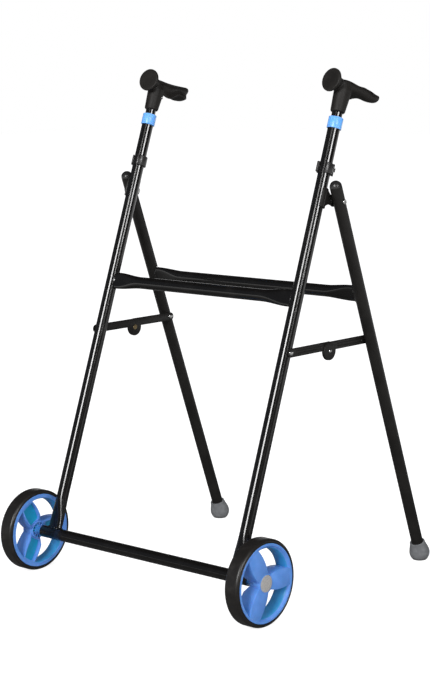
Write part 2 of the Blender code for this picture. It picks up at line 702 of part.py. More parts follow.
def build_wheels(walker):
    hub = Vector((WHEEL_X, AXLE.y, AXLE.z))
    # Seen with local X backwards, so that one spoke points straight back on both wheels.
    frame = frame_of(AXLE, OUTWARD, Vector((0.0, 1.0, 0.0)))
    web_in = WHEEL_OUT - WEB_RECESS - WEB_T
    cap_seat = WHEEL_OUT - CAP_T - SEAT_GAP
    head_seat = cap_seat - SEAT_GAP - AXLE_HEAD_T
    head_pocket = AXLE_HEAD_R + 0.0012
    rim_profile = [
        (HUB_R + HUB_CLEARING, HUB_IN),
        (HUB_R + HUB_CLEARING, WHEEL_IN),
        (FLANGE_R, WHEEL_IN),
        (FLANGE_R, WHEEL_IN + FLANGE_T),
        (SEAT_R, WHEEL_IN + FLANGE_T),
        (SEAT_R, WHEEL_OUT - FLANGE_T),
        (FLANGE_R, WHEEL_OUT - FLANGE_T),
        (FLANGE_R - 0.0004, WHEEL_OUT),
        (RING_R_OUT, WHEEL_OUT),
        (RING_R_OUT - 0.0004, WHEEL_OUT - WEB_RECESS),
        (HUB_R, WHEEL_OUT - WEB_RECESS),
        (HUB_R - 0.0010, WHEEL_OUT),
        (CAP_R + SEAT_GAP, WHEEL_OUT),
        (CAP_R + SEAT_GAP, cap_seat),
        (head_pocket, cap_seat),
        (head_pocket, head_seat - SEAT_GAP),
        (BUSH_R + SEAT_GAP, head_seat - SEAT_GAP),
        (BUSH_R + SEAT_GAP, HUB_IN),
    ]
    half = TYRE_W / 2
    shoulder = 0.0045
    bead = half - FLANGE_T - SEAT_GAP
    seat = FLANGE_R + SEAT_GAP
    half_profile = [(SEAT_R + SEAT_GAP, bead), (seat, bead), (seat, half)]
    for bend in (math.radians(degrees) for degrees in (0, 42, 85)):
        out, along = shoulder * math.sin(bend), shoulder * math.cos(bend)
        half_profile.append((WHEEL_R - shoulder + out, half - shoulder + along))
    half_profile.append((WHEEL_R - 0.0003 * 0.4, half * 0.35))
    tyre_profile = [(r, WHEEL_X + h) for r, h in half_profile]
    tyre_profile += [(r, WHEEL_X - h) for r, h in half_profile[::-1]]

    for name, side in SIDES:
        disc = moved(turned(rim_profile, WHEEL_SIDES, closed=True), frame)
        rim = walker.piece(f"rim_{name}", disc, "blue_rim", side, hub)
        low, high = WHEEL_IN - CUT_REACH, WHEEL_OUT + CUT_REACH
        windows = joined(*[prism(window(i), low, high) for i in range(SPOKES)])
        walker.cut(rim, moved(windows, frame), side)
        pockets = joined(*[prism(pocket(i), low, WHEEL_IN + SPOKE_POCKET) for i in range(SPOKES)])
        walker.cut(rim, moved(pockets, frame), side)
        tyre = turned(tyre_profile, WHEEL_SIDES, closed=True)
        walker.piece(f"tyre_{name}", moved(tyre, frame), "black_rubber", side, hub)

        cap_low = cap_seat + SEAT_GAP
        cap_profile = [(0, cap_low), (CAP_R, cap_low), (CAP_R, WHEEL_OUT - 0.0008)]
        cap_profile += [(CAP_R - 0.0008, WHEEL_OUT), (0, WHEEL_OUT)]
        cap = moved(turned(cap_profile, TUBE_SIDES), frame)
        walker.piece(f"hub_cap_{name}", cap, "grey_cap", side, hub)

        bush = washer(AXLE_BOLT_R + PIN_GAP, BUSH_R, AXLE_END + SEAT_GAP, head_seat - SEAT_GAP)
        walker.piece(f"wheel_bush_{name}", moved(bush, frame), "bush_nylon", side, hub)

        plug_in = AXLE_END - SEAT_GAP - AXLE_PLUG_LENGTH
        plug = washer(AXLE_BOLT_R + PIN_GAP, BORE_R - SEAT_GAP, plug_in, AXLE_END - SEAT_GAP)
        walker.piece(f"axle_plug_{name}", moved(plug, frame), "steel", side)
        bolt = [
            (0, plug_in - 0.001),
            (AXLE_BOLT_R, plug_in - 0.001),
            (AXLE_BOLT_R, head_seat),
            (AXLE_HEAD_R, head_seat),
            (AXLE_HEAD_R, head_seat + AXLE_HEAD_T * 0.7),
            (AXLE_HEAD_R * 0.8, head_seat + AXLE_HEAD_T),
            (0, head_seat + AXLE_HEAD_T),
        ]
        walker.piece(f"axle_bolt_{name}", moved(turned(bolt, PIN_SIDES), frame), "steel", side)


# Collar, clip and lock


def build_collars(walker):
    low = -COLLAR_HEIGHT / 2
    high = COLLAR_HEIGHT / 2
    outer = COLLAR_D / 2
    bevel = 0.0006
    profile = [
        (TUBE_R + SEAT_GAP, low),
        (outer - bevel, low),
        (outer, low + bevel),
        (outer, high - bevel),
        (outer - bevel, high),
        (HANDLE_R + SEAT_GAP, high),
        (HANDLE_R + SEAT_GAP, high - COLLAR_LIP),
        (TUBE_R + SEAT_GAP, high - COLLAR_LIP),
    ]
    seat = frame_of(on_front(COLLAR_S, 0, FRONT_X), ALONG)
    for name, side in SIDES:
        ring = moved(turned(profile, TUBE_SIDES, closed=True), seat)
        walker.piece(f"collar_{name}", ring, "blue_collar", side)


def lock_frame():
    """Local Z points out of the front tube along the lock pin."""
    out = OUTWARD * math.cos(LOCK_ANGLE) + BEHIND * math.sin(LOCK_ANGLE)
    return frame_of(on_front(CLIP_S, 0, FRONT_X), out, ALONG)


def build_clips(walker):
    frame = frame_of(on_front(CLIP_S, 0, FRONT_X), ALONG)
    inner = TUBE_R + SEAT_GAP
    outer = inner + CLIP_WALL
    half = CLIP_HEIGHT / 2
    start, end = CLIP_OPEN_TO, CLIP_OPEN_FROM + 2 * math.pi
    band = arc((0, 0), outer, start, end, 15) + arc((0, 0), inner, end, start, 15)
    tab_end = inner + CLIP_WALL + CLIP_TAB_REACH
    for name, side in SIDES:
        clip_mesh = moved(prism(band, -half, half), frame)
        clip = walker.piece(f"height_clip_{name}", clip_mesh, "black_plastic", side)
        tab_reach = tab_end - inner - JOIN_STEP
        tab_size = (tab_reach, CLIP_TAB_T, CLIP_HEIGHT - 2 * JOIN_STEP)
        tab = block(tab_size, (tab_end - tab_reach / 2, -CLIP_TAB_T / 2, 0))
        walker.join(clip, moved(tab, frame @ Matrix.Rotation(CLIP_OPEN_FROM, 4, "Z")), side)
        depth = LOCK_HOUSING_R - inner - JOIN_STEP
        housing_size = (depth, LOCK_HOUSING_W, CLIP_HEIGHT - 3 * JOIN_STEP)
        housing = block(housing_size, (LOCK_HOUSING_R - depth / 2, 0, 0))
        walker.join(clip, moved(housing, frame @ Matrix.Rotation(LOCK_ANGLE, 4, "Z")), side)
        lobe = rod(LOCK_HOUSING_W / 2 - JOIN_STEP, inner + 2 * JOIN_STEP, LOCK_HOUSING_R - 2 * JOIN_STEP)
        walker.join(clip, moved(lobe, lock_frame() @ Matrix.Translation((-LOCK_LOBE_DROP, 0, 0))), side)
        pin_hole = rod(LOCK_PIN_R + PIN_GAP, 0, LOCK_HOUSING_R + CUT_REACH)
        walker.cut(clip, moved(pin_hole, lock_frame()), side)
        bore = rod(inner, -CLIP_HEIGHT, CLIP_HEIGHT, TUBE_SIDES)
        walker.cut(clip, moved(bore, frame), side)

        knob = LOCK_HOUSING_R + SEAT_GAP
        pin_tip = HANDLE_R + SEAT_GAP
        profile = [
            (0, pin_tip),
            (LOCK_PIN_R, pin_tip),
            (LOCK_PIN_R, knob),
            (LOCK_KNOB_R - 0.0005, knob),
            (LOCK_KNOB_R, knob + 0.0005),
            (LOCK_KNOB_R, knob + LOCK_KNOB_T * 0.6),
            (LOCK_KNOB_R * 0.7, knob + LOCK_KNOB_T),
            (0, knob + LOCK_KNOB_T),
        ]
        button = moved(turned(profile, PIN_SIDES), lock_frame())
        walker.piece(f"lock_button_{name}", button, "black_plastic", side, on_front(CLIP_S, 0, FRONT_X))


# Handle tube and grip


def build_handle_tubes(walker):
    low = CLIP_S - HOLE_STEPS * HOLE_PITCH - HANDLE_FOOT
    high = GRIP_S - GRIP_BORE_STOP - SEAT_GAP
    for name, side in SIDES:
        bore = HANDLE_R - HANDLE_WALL
        tube = washer(bore, HANDLE_R, low, high, TUBE_SIDES)
        frame = frame_of(on_front(0, 0, FRONT_X), ALONG)
        seat = on_front(COLLAR_S, 0, FRONT_X)
        made = walker.piece(f"handle_tube_{name}", moved(tube, frame), "gloss_black", side, seat)
        holes = []
        for step in range(HOLE_STEPS + 1):
            hole = rod(LOCK_PIN_R + PIN_GAP, bore - CUT_REACH, HANDLE_R + CUT_REACH, HOLE_SIDES)
            holes.append(moved(hole, Matrix.Translation(-ALONG * HOLE_PITCH * step) @ lock_frame()))
        walker.cut(made, joined(*holes), side)


# Each row is how far back the section lies, its reach outwards and the height of its outer top
# edge, its reach inwards and the height of its inner top edge, and the height of its underside.
ARM_SECTIONS = (
    (-0.014, 0.0090, 0.0060, 0.0090, 0.0060, -0.0080),
    (-0.004, 0.0122, 0.0086, 0.0122, 0.0084, -0.0110),
    (0.008, 0.0134, 0.0094, 0.0130, 0.0092, -0.0150),
    (0.022, 0.0128, 0.0080, 0.0135, 0.0094, -0.0165),
    (0.036, 0.0128, 0.0098, 0.0150, 0.0114, -0.0136),
    (0.049, 0.0130, 0.0116, 0.0168, 0.0138, -0.0134),
    (0.061, 0.0128, 0.0098, 0.0180, 0.0154, -0.0122),
    (0.072, 0.0124, 0.0102, 0.0178, 0.0166, -0.0098),
    (0.081, 0.0116, 0.0112, 0.0140, 0.0164, -0.0064),
    (0.088, 0.0102, 0.0106, 0.0100, 0.0140, -0.0030),
    (0.093, 0.0080, 0.0094, 0.0075, 0.0110, 0.0008),
    (0.096, 0.0050, 0.0082, 0.0048, 0.0090, 0.0040),
)
# Points round a section, as shares of its reach and of its height from the underside to a top
# edge: first the outer side, which is full, then the inner side, which is hollow below its edge.
OUTER_SIDE = ((0.0, 0.0), (0.55, 0.07), (0.93, 0.36), (1.0, 0.68), (0.86, 0.93), (0.55, 1.0))
INNER_SIDE = ((0.84, 1.0), (1.0, 0.90), (0.93, 0.74), (0.66, 0.50), (0.52, 0.28), (0.33, 0.07))


def grip_frame():
    """Local X points outwards, local Y back along the hand rest and local Z up the front tube."""
    return frame_of(on_front(GRIP_S, 0, FRONT_X), ALONG) @ Matrix.Rotation(-GRIP_TOE, 4, "Z")


def arm_mesh():
    rings = []
    for back, outer, outer_top, inner, inner_top, under in ARM_SECTIONS:
        ring = [(outer * out, under + (outer_top - under) * up) for out, up in OUTER_SIDE]
        ring.append((0.0, outer_top * 0.6 + inner_top * 0.4))
        ring.append((-inner * 0.5, outer_top * 0.3 + inner_top * 0.7))
        ring += [(-inner * out, under + (inner_top - under) * up) for out, up in INNER_SIDE]
        rings.append([Vector((x, back, z)) for x, z in ring])
    return skin(rings)


def build_grips(walker):
    frame = grip_frame()
    seat = on_front(COLLAR_S, 0, FRONT_X)
    low = GRIP_BOTTOM_S - GRIP_S
    stem_profile = [
        (0, low),
        (STEM_R_LOW - STEM_CHAMFER, low),
        (STEM_R_LOW, low + STEM_CHAMFER),
        (STEM_R_TOP, -0.008),
        (STEM_R_TOP * 0.88, 0.0015),
        (STEM_R_TOP * 0.50, 0.0072),
        (0, 0.0088),
    ]
    disc_back = -DISC_AHEAD + DISC_EDGE
    disc_profile = [
        (0, -DISC_AHEAD),
        (DISC_R * 0.93, -DISC_AHEAD),
        (DISC_R, -DISC_AHEAD + 0.0014),
        (DISC_R * 0.97, disc_back),
        (NECK_R * 1.45, disc_back + 0.0085),
        (NECK_R * 1.1, disc_back + 0.0150),
        (NECK_R, -0.004),
        (0, -0.004),
    ]
    backwards = frame @ Matrix.Rotation(-math.pi / 2, 4, "X")
    for name, side in SIDES:
        stem = moved(turned(stem_profile, TUBE_SIDES), frame)
        grip = walker.piece(f"grip_{name}", stem, "grip_rubber", side, seat)
        walker.join(grip, moved(arm_mesh(), frame), side)
        walker.join(grip, moved(turned(disc_profile, TUBE_SIDES), backwards), side)
        bore = rod(HANDLE_R + SEAT_GAP, low - CUT_REACH, -GRIP_BORE_STOP, TUBE_SIDES)
        walker.cut(grip, moved(bore, frame_of(on_front(GRIP_S, 0, FRONT_X), ALONG)), side)

        out = OUTWARD * math.cos(SCREW_ANGLE) + BEHIND * math.sin(SCREW_ANGLE)
        screw_frame = frame_of(on_front(SCREW_S, 0, FRONT_X), out, ALONG)
        tip = HANDLE_R + SEAT_GAP
        hole = rod(SCREW_R + PIN_GAP, HANDLE_R - CUT_REACH / 4, tip + SCREW_LENGTH)
        walker.cut(grip, moved(hole, screw_frame), side)
        shank = turned(
            [
                (0, tip),
                (SCREW_R, tip),
                (SCREW_R, STEM_R_TOP - 0.0004),
                (SCREW_R * 0.7, STEM_R_TOP + 0.0002),
                (0, STEM_R_TOP + 0.0002),
            ],
            PIN_SIDES,
        )
        walker.piece(f"grip_screw_{name}", moved(shank, screw_frame), "zinc", side, seat)


def build():
    for leftover in list(bpy.data.objects):
        bpy.data.objects.remove(leftover)
    walker = Walker()
    build_front_tubes(walker)
    build_axle_tube(walker)
    build_crossbars(walker)
    build_rear_legs(walker)
    build_ferrules(walker)
    build_hinges(walker)
    build_braces(walker)
    build_wheels(walker)
    build_collars(walker)
    build_clips(walker)
    build_handle_tubes(walker)
    build_grips(walker)
    walker.stand_on_origin()


build()
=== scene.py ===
import json
from math import asin, atan2, copysign, cos, pi, radians, sin, sqrt

import bmesh
import bpy
from mathutils import Matrix, Vector


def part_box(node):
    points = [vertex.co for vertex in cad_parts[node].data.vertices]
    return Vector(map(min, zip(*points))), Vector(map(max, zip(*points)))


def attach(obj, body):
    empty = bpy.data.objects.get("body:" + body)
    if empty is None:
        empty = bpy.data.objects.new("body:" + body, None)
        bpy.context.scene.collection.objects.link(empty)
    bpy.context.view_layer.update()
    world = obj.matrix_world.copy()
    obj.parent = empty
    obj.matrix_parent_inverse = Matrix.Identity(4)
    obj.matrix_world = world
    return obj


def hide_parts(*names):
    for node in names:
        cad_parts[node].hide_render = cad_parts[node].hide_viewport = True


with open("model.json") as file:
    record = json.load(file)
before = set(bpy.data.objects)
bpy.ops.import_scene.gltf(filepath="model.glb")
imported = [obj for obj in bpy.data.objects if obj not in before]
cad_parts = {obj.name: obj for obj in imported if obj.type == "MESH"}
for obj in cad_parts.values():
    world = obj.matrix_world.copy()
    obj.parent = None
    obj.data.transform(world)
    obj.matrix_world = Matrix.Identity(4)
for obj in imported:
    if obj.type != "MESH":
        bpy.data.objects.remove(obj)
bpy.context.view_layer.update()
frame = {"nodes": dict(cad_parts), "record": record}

# The walker stands on z = 0 and faces -Y, with its left side at +X. All lengths are in metres, and
# they are the ones that its solids were made with.

# Gaps, how far a cutting shape reaches past what it cuts, and how close counts as on a face
SEAT_GAP = 0.0003
TUCK = 0.0008
CUT_REACH = 0.01
NEAR = 1e-4

# Sides of round pieces
PIN_SIDES = 32
TUBE_SIDES = 64
WHEEL_SIDES = 96

# Frame tubes
TUBE_D = 0.022
TUBE_WALL = 0.0012
FRONT_X = 0.225
FRONT_LEAN = radians(20.3)
LEG_LEAN = radians(19.65)
SIDE_PLAY = 0.006
LEG_RISE = 0.028
SQUASH_WIDE = 0.031
SQUASH_THIN = 0.0105
SQUASH_POWER = 3.2
SQUASH_LENGTH = 0.012
SQUASH_BLEND = 0.060
CROSSBAR_S = 0.489
REAR_BAR_DROP = 0.179
WELD_R = 0.0016
WELD_RIPPLE = 0.24
WELD_WANDER = 0.10
TUBE_END_SOFT = 0.0004
LEG_PLUG = 0.010

# Hinge between the front tubes and the rear legs
HINGE_S = 0.6715
HINGE_T = 0.023
PLATE_T = 0.0028
PLATE_SOFT = 0.0005
BRACKET_LENGTH = 0.034
EAR_R = 0.0095
WAIST_HALF = 0.0088
WAIST_T = 0.014
SADDLE_FROM = radians(-33.0)
SADDLE_TO = radians(100.0)
WASHER_T = 0.0006
WASHER_R = 0.0075
HINGE_BOLT_R = 0.003
BOLT_HEAD_R = 0.0046
BOLT_HEAD_T = 0.0022
NUT_R = 0.0058
NUT_T = 0.005
NUT_SOFT = 0.0006
THREAD_PAST_NUT = 0.0012
THREAD_SOFT = 0.0004
PIN_PLAY = 0.0001

# Folding brace
BRACE_FRONT_S = 0.3931
BRACE_REAR_DROP = 0.2711
BRACE_MID_DROP = 0.0088
LINK_T = 0.0025
LINK_HEIGHT = 0.0155
LINK_SOFT = 0.00035
FRONT_LOBE_R = 0.0168
RIB_WIDTH = 0.005
RIB_DEPTH = 0.001
RIB_END_GAP = 0.007
RIVET_SHANK_R = 0.0025
RIVET_HEAD_R = 0.0048
MID_HEAD_R = 0.0038
RIVET_HEAD_T = 0.0016
TAIL_FLANGE_R = 0.005
TAIL_FLANGE_T = 0.0006

# Wheels
WHEEL_D = 0.152
TYRE_W = 0.030
TYRE_SHOULDER = 0.0052
TYRE_EDGE = 0.0004
WHEEL_X = 0.277
TREAD_ABOVE_FLANGE = 0.0072
FLANGE_LIP = 0.0033
FLANGE_T = 0.0025
FLANGE_FACE = 0.0046
RIM_WALL = 0.0040
RIM_DRAFT = 0.0015
RIM_SOFT = 0.0006
WEB_RECESS = 0.0025
WEB_T = 0.0030
SPOKE_RECESS = 0.0004
SPOKE_SLOPE = 0.011
SPOKE_SOFT = 0.0007
SPOKE_WALL = 0.0022
SPOKE_POCKET = 0.009
SPOKE_HALF_HUB = 0.0130
SPOKE_HALF_MID = 0.0170
SPOKE_HALF_RING = 0.0145
SPOKES = 3
HUB_R = 0.018
HUB_RING_R = 0.0158
HUB_SETBACK = 0.005
HUB_CLEARING = 0.0035
HUB_SLOTS = 12
HUB_SLOT_DEPTH = 0.005
HUB_SLOT_IN = 0.0022
HUB_SLOT_OUT = 0.0014
HUB_SLOT_RIB = 0.0013
CAP_R = 0.015
CAP_T = 0.0032
BUSH_R = 0.0070
AXLE_HEAD_R = 0.0075
AXLE_HEAD_T = 0.0040
AXLE_HEAD_GAP = 0.0012
AXLE_STANDOFF = 0.013

# Collar, height clip and handle tube
COLLAR_S = 0.8062
COLLAR_D = 0.026
COLLAR_HEIGHT = 0.0206
COLLAR_LIP = 0.0060
COLLAR_SOFT = 0.0008
CLIP_S = 0.7240
CLIP_HEIGHT = 0.019
CLIP_WALL = 0.0030
CLIP_OPEN_FROM = radians(-112.0)
CLIP_OPEN_TO = radians(-50.0)
CLIP_TAB_REACH = 0.0020
CLIP_TAB_T = 0.0040
CLIP_SOFT = 0.0007
CLIP_TAB_SOFT = 0.0008
LOCK_HOUSING_SOFT = 0.0014
LOCK_LOBE_SOFT = 0.0009
LOCK_ANGLE = radians(38.0)
LOCK_HOUSING_R = 0.0158
LOCK_HOUSING_W = 0.012
LOCK_LOBE_DROP = 0.0055
LOCK_PIN_R = 0.0022
LOCK_KNOB_R = 0.0038
LOCK_KNOB_T = 0.0018
LOCK_SOFT = 0.0003
HANDLE_WALL = 0.0012
HOLE_PITCH = 0.025
HOLE_STEPS = 5
HANDLE_FOOT = 0.018

# Grip
GRIP_S = 0.8764
GRIP_BOTTOM_S = 0.8256
STEM_R_LOW = 0.0130
STEM_R_TOP = 0.0136
STEM_CHAMFER = 0.0020
STEM_HEEL = 0.0045
STEM_SWELL = 0.0010
GRIP_SKIN = 0.0009
GRIP_SKIN_PASSES = 4
GRIP_TOE = radians(6.0)
DISC_R = 0.0213
DISC_AHEAD = 0.0343
DISC_EDGE = 0.0052
NECK_R = 0.0095
GRIP_BORE_STOP = 0.0060
SCREW_S = 0.8545
SCREW_R = 0.0027
SCREW_ANGLE = radians(130.0)
SCREW_PROUD = 0.0012

# Rubber foot
FOOT_RIM_R = 0.0145
FOOT_SWELL_R = 0.0192
FOOT_BALL_DROP = 0.60
FOOT_HEIGHT = 0.038
FOOT_SOLE = 0.008
FOOT_SOFT = 0.0006

TUBE_R = TUBE_D / 2
BORE_R = TUBE_R - TUBE_WALL
HANDLE_R = BORE_R - SEAT_GAP
LEG_X = FRONT_X + TUBE_D + SIDE_PLAY
WHEEL_R = WHEEL_D / 2
FLANGE_R = WHEEL_R - TREAD_ABOVE_FLANGE
SEAT_R = FLANGE_R - FLANGE_LIP
RING_R_OUT = SEAT_R - RIM_WALL
RING_R_IN = RING_R_OUT - RIM_DRAFT
axle_low, axle_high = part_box("axle_tube")
AXLE = Vector((0.0, (axle_low.y + axle_high.y) / 2, (axle_low.z + axle_high.z) / 2))
ALONG = Vector((0.0, sin(FRONT_LEAN), cos(FRONT_LEAN)))
BEHIND = Vector((0.0, cos(FRONT_LEAN), -sin(FRONT_LEAN)))
DOWN_LEG = Vector((0.0, sin(LEG_LEAN), -cos(LEG_LEAN)))
BEHIND_LEG = Vector((0.0, cos(LEG_LEAN), sin(LEG_LEAN)))
OUTWARD = Vector((1.0, 0.0, 0.0))
SIDES = (("left", 1), ("right", -1))


def on_front(s, t=0.0, x=0.0):
    """A point s along the front tube from the axle, t behind the tube's axis and x out from the middle."""
    return AXLE + ALONG * s + BEHIND * t + OUTWARD * x


PIVOT = on_front(HINGE_S, HINGE_T)
LEG_TO_FLOOR = PIVOT.z / cos(LEG_LEAN)
BRACE_FRONT = on_front(BRACE_FRONT_S)


def on_leg(down, t=0.0, x=0.0):
    """A point down the leg from the hinge, t behind the leg's axis."""
    return PIVOT + DOWN_LEG * down + BEHIND_LEG * t + OUTWARD * x


BRACE_REAR = on_leg(BRACE_REAR_DROP)
BRACE_ALONG = (BRACE_REAR - BRACE_FRONT).normalized()
BRACE_UP = Vector((0.0, -BRACE_ALONG.z, BRACE_ALONG.y))
BRACE_MID = (BRACE_FRONT + BRACE_REAR) / 2 - BRACE_UP * BRACE_MID_DROP
TUBE_FACE = FRONT_X + TUBE_R
LEG_FACE = LEG_X - TUBE_R
FRONT_LINK_X = TUBE_FACE + SEAT_GAP
REAR_LINK_X = FRONT_LINK_X + LINK_T + SEAT_GAP
WASHER_X = LEG_FACE - SEAT_GAP - WASHER_T
PLATE_X = WASHER_X - SEAT_GAP - PLATE_T
WHEEL_IN = WHEEL_X - TYRE_W / 2
WHEEL_OUT = WHEEL_X + TYRE_W / 2
HUB_IN = WHEEL_IN + HUB_SETBACK
AXLE_END = HUB_IN - AXLE_STANDOFF


def axes_at(origin, *axes):
    """The matrix that puts local X, Y and Z along these three axes."""
    return Matrix.Translation(origin) @ Matrix(axes).transposed().to_4x4()


def frame_of(origin, z_axis, x_hint=OUTWARD):
    """The matrix that puts local Z along z_axis and local X near x_hint."""
    z = z_axis.normalized()
    x = (x_hint - z * x_hint.dot(z)).normalized()
    return axes_at(origin, x, z.cross(x), z)


def across(x, centre):
    """A frame on the point's own line across the walker, with local Z outwards and local X forwards."""
    return frame_of(Vector((x, centre.y, centre.z)), OUTWARD, Vector((0.0, -1.0, 0.0)))


def up_front(s):
    """A frame on the left front tube's axis, with local Z up the tube."""
    return frame_of(on_front(s, 0, FRONT_X), ALONG)


def out_of_front(s, angle):
    """A frame on the left front tube's axis, with local Z out of the tube's side."""
    out = OUTWARD * cos(angle) + BEHIND * sin(angle)
    return frame_of(on_front(s, 0, FRONT_X), out, ALONG)


def down_leg(down):
    """A frame on the left rear leg's axis, with local Z down the leg."""
    return frame_of(on_leg(down, 0, LEG_X), DOWN_LEG)


def set_up(thing, **settings):
    for name, setting in settings.items():
        setattr(thing, name, setting)
    return thing


def placed(name, data):
    """A new object in the scene."""
    made = bpy.data.objects.new(name, data)
    bpy.context.scene.collection.objects.link(made)
    return made


# Camera

EYE = Vector((2.174461, -2.455895, 0.962326))
YAW, PITCH, ROLL = 0.72742003, 0.15989808, -0.01581501
LENS_MM = 95.25
SENSOR_MM = 36.0


def put_camera():
    camera = bpy.data.cameras.new("camera")
    set_up(camera, sensor_fit="VERTICAL", sensor_height=SENSOR_MM, sensor_width=SENSOR_MM)
    set_up(camera, lens=LENS_MM, clip_start=0.05, clip_end=100.0)
    level = cos(PITCH)
    back = Vector((sin(YAW) * level, -cos(YAW) * level, sin(PITCH)))
    right = Vector((cos(YAW), sin(YAW), 0.0))
    up = back.cross(right)
    turned_right = right * cos(ROLL) + up * sin(ROLL)
    turned_up = up * cos(ROLL) - right * sin(ROLL)
    holder = placed("camera", camera)
    holder.matrix_world = axes_at(EYE, turned_right, turned_up, back)
    bpy.context.scene.camera = holder
    return right


CAMERA_RIGHT = put_camera()
bpy.context.scene.view_settings.view_transform = "Standard"


# Shader sums


class Value:
    """One shader socket, with Python's +, - and * for the Math nodes."""

    def __init__(self, sheet, socket):
        self.sheet = sheet
        self.socket = socket

    def maths(self, operation, first, second):
        return self.sheet.node("ShaderNodeMath", {0: first, 1: second}, operation=operation)

    def __add__(self, other):
        return self.maths("ADD", self, other)

    def __radd__(self, other):
        return self.maths("ADD", other, self)

    def __rsub__(self, other):
        return self.maths("SUBTRACT", other, self)

    def __mul__(self, other):
        return self.maths("MULTIPLY", self, other)


class Sheet:
    """A node tree, of a material or of the world, with one method for any node."""

    def __init__(self, tree):
        self.tree = tree

    def link(self, value, socket):
        if isinstance(value, Value):
            self.tree.links.new(value.socket, socket)
        else:
            socket.default_value = value

    def node(self, kind, values=None, output=0, **settings):
        made = set_up(self.tree.nodes.new(kind), **settings)
        for name, value in (values or {}).items():
            self.link(value, made.inputs[name])
        return Value(self, made.outputs[output])

    def span(self, value, low, high, to_low=0.0, to_high=1.0):
        """A soft step from to_low to to_high while the value goes from low to high."""
        values = {"Value": value, "From Min": low, "From Max": high, "To Min": to_low, "To Max": to_high}
        return self.node("ShaderNodeMapRange", values, interpolation_type="SMOOTHSTEP")

    def mix(self, factor, first, second):
        """One colour turning into another."""
        picks = {0: factor, 6: (*first, 1.0) if isinstance(first, tuple) else first}
        picks[7] = (*second, 1.0) if isinstance(second, tuple) else second
        return self.node("ShaderNodeMix", picks, output=2, data_type="RGBA")


class Finish(Sheet):
    """A surface finish, worked out from places on the walker in metres."""

    def __init__(self, name, slot, roughness, metallic=0.0, specular=0.5, **fixed):
        self.material = bpy.data.materials.new(name)
        self.material.use_nodes = True
        super().__init__(self.material.node_tree)
        self.slot = slot
        self.shader = self.tree.nodes["Principled BSDF"]
        self.set("Roughness", roughness)
        self.set("Metallic", metallic)
        self.set("Specular IOR Level", specular)
        for socket, value in fixed.items():
            self.set(socket.replace("_", " "), value)
        self.place = self.node("ShaderNodeTexCoord", output="Object")
        self.height = None

    def set(self, socket, value):
        if isinstance(value, tuple):
            value = (*value, 1.0)
        self.link(value, self.shader.inputs[socket])

    def grain(self, size, detail=2.0, roughness=0.5, stretch=None):
        """Noise from 0 to 1 whose lumps are about this wide."""
        place = self.place
        if stretch:
            place = self.node("ShaderNodeMapping", {"Vector": place, "Scale": stretch})
        values = {"Vector": place, "Scale": 1.0 / size, "Detail": detail, "Roughness": roughness}
        return self.node("ShaderNodeTexNoise", values)

    def cells(self, size):
        """Distance from the middle of the nearest cell, for a pebbled surface."""
        return self.node("ShaderNodeTexVoronoi", {"Vector": self.place, "Scale": 1.0 / size})

    def relief(self, height, depth, strength=1.0):
        """Adds a bump whose highest parts stand this far out."""
        values = {"Height": height, "Distance": depth, "Strength": strength}
        if self.height is not None:
            values["Normal"] = self.height
        self.height = self.node("ShaderNodeBump", values)
        self.set("Normal", self.height)


# Finishes


def drifting(name, slot, roughness, tones, drift, fine, shine, depth=0.0, **fixed):
    """A finish whose tone drifts between two colours, with a fine even grain.

    drift holds the size, detail and roughness of the noise behind it and where it starts and ends,
    fine the same for the grain, and shine the base of the roughness and what each of them adds.
    """
    made = Finish(name, slot, roughness, **fixed)
    made.drift = made.span(made.grain(*drift[:3]), *drift[3:])
    made.fine = made.grain(*fine)
    made.tone = made.mix(made.drift, *tones)
    made.set("Base Color", made.tone)
    made.set("Roughness", shine[0] + made.drift * shine[1] + made.fine * shine[2])
    if depth:
        made.relief(made.fine, depth)
    return made


def moulded_blue(name, slot, roughness, glow, deep, colour, pale):
    """Moulded blue plastic: slightly cloudy, with paler grains and a soft sheen."""
    drift, shine = (0.018, 3.0, 0.5, 0.3, 0.7), (roughness - 0.03, 0.04, 0.05)
    fixed = {"specular": 0.45, "Subsurface_Weight": glow, "Subsurface_Scale": 0.004}
    made = drifting(name, slot, roughness, (deep, colour), drift, (0.0009,), shine, 0.00003, **fixed)
    made.set("Base Color", made.mix(made.span(made.fine, 0.50, 0.85), made.tone, pale))
    return made


def soft_grip():
    """Warm black soft rubber with a fine pebble that keeps it matt."""
    tones = ((0.0082, 0.0068, 0.0056), (0.0132, 0.0112, 0.0096))
    worn, fine, shine = (0.02, 4.0, 0.6, 0.35, 0.75), (0.0006, 3.0, 0.6), (0.50, 0.08, 0.06)
    made = drifting("grip rubber", "grip_rubber", 0.55, tones, worn, fine, shine, specular=0.32)
    made.relief(made.cells(0.0009), 0.00006, 0.7)
    made.relief(made.fine, 0.00005)
    return made


def foot_rubber():
    """Grey foot rubber, chalky, scuffed darker towards the floor."""
    tones = ((0.118, 0.122, 0.128), (0.152, 0.157, 0.163))
    drift, fine, shine = (0.008, 4.0, 0.6, 0.35, 0.7), (0.0007, 3.0, 0.6), (0.62, 0.07, 0.06)
    name = "grey foot rubber"
    made = drifting(name, "grey_rubber", 0.68, tones, drift, fine, shine, 0.00009, specular=0.35)
    height = made.node("ShaderNodeSeparateXYZ", {0: made.place}, output=2)
    scuff = made.span(height + made.grain(0.006, 4.0, 0.6) * 0.006, 0.0025, 0.0095, 1.0, 0.0)
    made.set("Base Color", made.mix(scuff * 0.5, made.tone, (0.072, 0.071, 0.070)))
    return made


